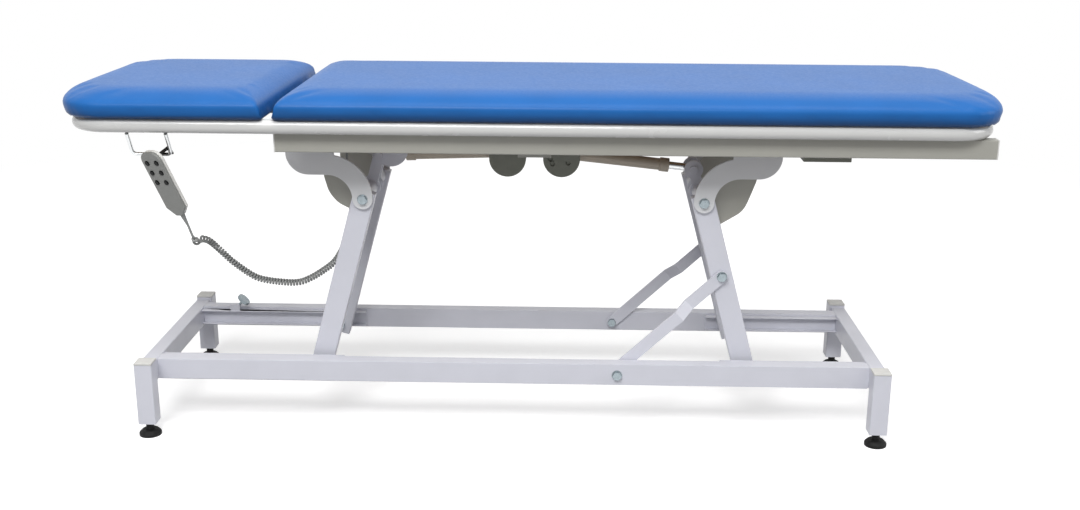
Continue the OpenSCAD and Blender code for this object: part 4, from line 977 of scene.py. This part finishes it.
def gather_corners(piece, split_x, half_width, inward_sign, bottom):
    """Presses the small gathers in the leather where it is pulled round the corners at the split."""
    for vertex in piece.data.vertices:
        for side in (-1, 1):
            corner = Vector((split_x + inward_sign * SPLIT_CORNER, side * (half_width - SPLIT_CORNER)))
            away = Vector((vertex.co.x, vertex.co.y)) - corner
            rise = (vertex.co.z - bottom) / GATHER_HEIGHT
            if away.length > GATHER_REACH or rise > 1:
                continue
            weight = math.cos(0.5 * math.pi * away.length / GATHER_REACH) * (1 - rise)
            turn = math.atan2(away.y, away.x)
            push = GATHER_DEPTH * weight * (math.cos(GATHER_COUNT * turn) - 1) / 2
            direction = away.normalized()
            vertex.co.x += push * direction.x
            vertex.co.y += push * direction.y


def pucker_edges(piece, bottom, depth):
    """Presses shallow upright folds into the leather just above the edge where it is stapled."""
    facing = [vertex.normal.copy() for vertex in piece.data.vertices]
    for vertex, normal in zip(piece.data.vertices, facing):
        rise = vertex.co.z - bottom
        if not PIN_HEIGHT < rise < PUCKER_REACH:
            continue
        share = math.sin(math.pi * (rise - PIN_HEIGHT) / (PUCKER_REACH - PIN_HEIGHT))
        fold = noise.noise(Vector((vertex.co.x, vertex.co.y, 0)) / PUCKER_LENGTH)
        vertex.co -= normal * depth * share * max(0.0, fold + PUCKER_BIAS)


def lay_underside(piece, low, high, wrap):
    """The leather's rim lies just under its board, and the rest stays above, so that the board shows."""
    for vertex in piece.data.vertices:
        x, y, z = vertex.co
        if z > low.z + UNDER_LIFT * UNDER_LIFTS:
            continue
        inside = min(x - low.x, high.x - x, y - low.y, high.y - y)
        vertex.co.z = low.z + (UNDER_LIFT if inside > wrap else -UNDER_LIFT)


def make_cushion(name, node, split_at_low):
    """One upholstered cushion in its node's place."""
    sizes = bpy.context.scene.couch_sizes
    low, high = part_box(node)
    piece = cushion_shell(name, node, split_at_low, sizes)
    outward(piece)
    piece.data.remesh_voxel_size = sizes.cushion_voxel
    activate(piece)
    bpy.ops.object.voxel_remesh()
    apply_modifier(piece, "SMOOTH", **VOXEL_SMOOTHING)
    pad(piece, low.z, sizes.cushion_swell)
    apply_modifier(piece, "SUBSURF", levels=1, render_levels=1)
    split_x = low.x if split_at_low else high.x
    gather_corners(piece, split_x, high.y, 1 if split_at_low else -1, low.z)
    pucker_edges(piece, low.z, sizes.pucker_depth)
    lay_underside(piece, low, high, sizes.leather_wrap)
    smooth(piece, CUSHION_ANGLE)
    mount(piece, name, BODY_OF[node], "upholstery", replaces=[node])


class COUCH_OT_cushions(bpy.types.Operator):
    """Adds both upholstered cushions."""
    bl_idname = "couch.cushions"
    bl_label = "Cushions"

    def execute(self, context):
        make_cushion("main_upholstery", "main_cushion", split_at_low=True)
        make_cushion("head_upholstery", "head_cushion", split_at_low=False)
        return {"FINISHED"}


# Boards and frame

# Radii on the cut, pressed or moulded edges of each kind of piece
PLATE_EDGE = 0.8 * MM
AXLE_EDGE = 0.4 * MM
BOLT_EDGE = 0.9 * MM
CAP_EDGE = 1.6 * MM
FOOT_EDGE = 1.0 * MM
KNOB_EDGE = 1.2 * MM
GEAR_HOUSING_EDGE = 2.2 * MM
MOTOR_EDGE = 1.6 * MM
CONTROL_BOX_EDGE = 1.2 * MM
HANDSET_EDGE = 1.4 * MM
KEY_EDGE = 0.9 * MM
TRACK_CORNER = 1.5 * MM
GUARD_OUTLINE = 14 * MM


class COUCH_OT_boards(bpy.types.Operator):
    """Finishes the plywood boards under the cushions."""
    bl_idname = "couch.boards"
    bl_label = "Boards"

    def execute(self, context):
        for node in ("main_board", "head_board"):
            finished(node, cut_edge=PLATE_EDGE)
        return {"FINISHED"}


class COUCH_OT_floor_frame(bpy.types.Operator):
    """Finishes the posts, the rails, the roller tracks and the post caps."""
    bl_idname = "couch.floor_frame"
    bl_label = "Floor frame"

    def execute(self, context):
        corner = context.scene.couch_sizes.tube_corner
        finished("base_posts", corner)
        finished("base_rails", corner)
        finished("roller_tracks", TRACK_CORNER)
        finished("post_caps", cut_edge=CAP_EDGE)
        return {"FINISHED"}


class COUCH_OT_lift(bpy.types.Operator):
    """Finishes the legs, their bushes and torque tubes, and the links."""
    bl_idname = "couch.lift"
    bl_label = "Lift legs"

    def execute(self, context):
        corner = context.scene.couch_sizes.tube_corner
        for side in ("right", "left"):
            finished(side + "_legs", corner)
            finished(side + "_crank_tube", cut_edge=PLATE_EDGE)
            keep(side + "_leg_bushes")
            finished(side + "_axles", cut_edge=AXLE_EDGE)
            finished(side + "_rollers", cut_edge=PLATE_EDGE)
        finished("links", cut_edge=PLATE_EDGE)
        return {"FINISHED"}


class COUCH_OT_fasteners(bpy.types.Operator):
    """Finishes the bolts, nuts and washers of the pivots and links."""
    bl_idname = "couch.fasteners"
    bl_label = "Bolts and nuts"

    def execute(self, context):
        for node in ("pivot_bolts", "link_bolts", "link_base_bolts"):
            finished(node, cut_edge=BOLT_EDGE)
        return {"FINISHED"}


class COUCH_OT_top_frame(bpy.types.Operator):
    """Finishes the bumper tube, the rails, bars and plates under the cushions."""
    bl_idname = "couch.top_frame"
    bl_label = "Top frame"

    def execute(self, context):
        corner = context.scene.couch_sizes.tube_corner
        for node in ("frame_tubes", "frame_corner_bends"):
            keep(node)
        for node in ("side_rails", "bearer_rails", "cross_bars"):
            finished(node, corner)
        finished("rail_end_caps", cut_edge=PLATE_EDGE)
        finished("guard_plates", cut_edge=PLATE_EDGE, outline=GUARD_OUTLINE)
        finished("actuator_lugs", cut_edge=PLATE_EDGE)
        finished("pivot_plates", cut_edge=PLATE_EDGE, material=finish("plate_grey"))
        return {"FINISHED"}


class COUCH_OT_actuators(bpy.types.Operator):
    """Finishes both electric actuators."""
    bl_idname = "couch.actuators"
    bl_label = "Actuators"

    def execute(self, context):
        for side in ("right", "left"):
            finished(side + "_gear_housing", cut_edge=GEAR_HOUSING_EDGE)
            finished(side + "_motor", cut_edge=MOTOR_EDGE)
            finished(side + "_outer_tube", cut_edge=PLATE_EDGE)
            finished(side + "_rod", cut_edge=PLATE_EDGE)
        return {"FINISHED"}


class COUCH_OT_control_box(bpy.types.Operator):
    """Finishes the control box under the foot end."""
    bl_idname = "couch.control_box"
    bl_label = "Control box"

    def execute(self, context):
        finished("control_box", cut_edge=CONTROL_BOX_EDGE)
        return {"FINISHED"}


class COUCH_OT_hinges(bpy.types.Operator):
    """Finishes the hinges between the main top and the head section."""
    bl_idname = "couch.hinges"
    bl_label = "Head hinges"

    def execute(self, context):
        for node in ("hinge_fixed_leaves", "hinge_moving_leaves"):
            finished(node, cut_edge=AXLE_EDGE)
        return {"FINISHED"}


class COUCH_OT_feet(bpy.types.Operator):
    """Finishes the four levelling feet and the clamp knob."""
    bl_idname = "couch.feet"
    bl_label = "Feet and knob"

    def execute(self, context):
        for node in ("foot_head_near", "foot_head_far", "foot_end_near", "foot_end_far"):
            finished(node, cut_edge=FOOT_EDGE)
        finished("clamp_knob", cut_edge=KNOB_EDGE)
        return {"FINISHED"}


class COUCH_OT_handset(bpy.types.Operator):
    """Finishes the hand control, its keys and its hanger."""
    bl_idname = "couch.handset"
    bl_label = "Hand control"

    def execute(self, context):
        finished("handset_front", cut_edge=HANDSET_EDGE)
        back = finished("handset_back", cut_edge=HANDSET_EDGE)
        back.data.materials.append(finish("black_rubber"))
        local = handset_place().inverted()
        for face in back.data.polygons:
            if (local @ face.center).y > HOOK_START:
                face.material_index = 1
        for number in range(1, KEY_COUNT + 1):
            finished("button_%d" % number, cut_edge=KEY_EDGE)
        keep("handset_hanger", finish("steel"))
        return {"FINISHED"}


OPERATORS = (
    COUCH_OT_stage, COUCH_OT_cord, COUCH_OT_cushions, COUCH_OT_boards, COUCH_OT_floor_frame, COUCH_OT_lift,
    COUCH_OT_fasteners, COUCH_OT_top_frame, COUCH_OT_actuators, COUCH_OT_control_box, COUCH_OT_hinges,
    COUCH_OT_feet, COUCH_OT_handset,
)


class COUCH_PT_pieces(bpy.types.Panel):
    """Lists the couch's sizes, colours and pieces."""
    bl_idname = "COUCH_PT_pieces"
    bl_label = "Examination couch"
    bl_space_type = "VIEW_3D"
    bl_region_type = "UI"
    bl_category = "Couch"

    def draw(self, context):
        for group in (context.scene.couch_sizes, context.scene.couch_colours):
            for name in type(group).__annotations__:
                self.layout.prop(group, name)
        for operator in OPERATORS:
            self.layout.operator(operator.bl_idname)


CLASSES = (CouchColours, CouchSizes, *OPERATORS, COUCH_PT_pieces)


def register():
    """Registers the classes and hangs the couch's colours and sizes on the scene."""
    for one in CLASSES:
        bpy.utils.register_class(one)
    bpy.types.Scene.couch_colours = bpy.props.PointerProperty(type=CouchColours)
    bpy.types.Scene.couch_sizes = bpy.props.PointerProperty(type=CouchSizes)


def unregister():
    """Takes the couch's colours, sizes and classes away again."""
    del bpy.types.Scene.couch_sizes
    del bpy.types.Scene.couch_colours
    for one in reversed(CLASSES):
        bpy.utils.unregister_class(one)


def main():
    register()
    deselect()
    for operator in OPERATORS:
        group, action = operator.bl_idname.split(".")
        getattr(getattr(bpy.ops, group), action)()
    deselect()


if __name__ == "__main__":
    main()
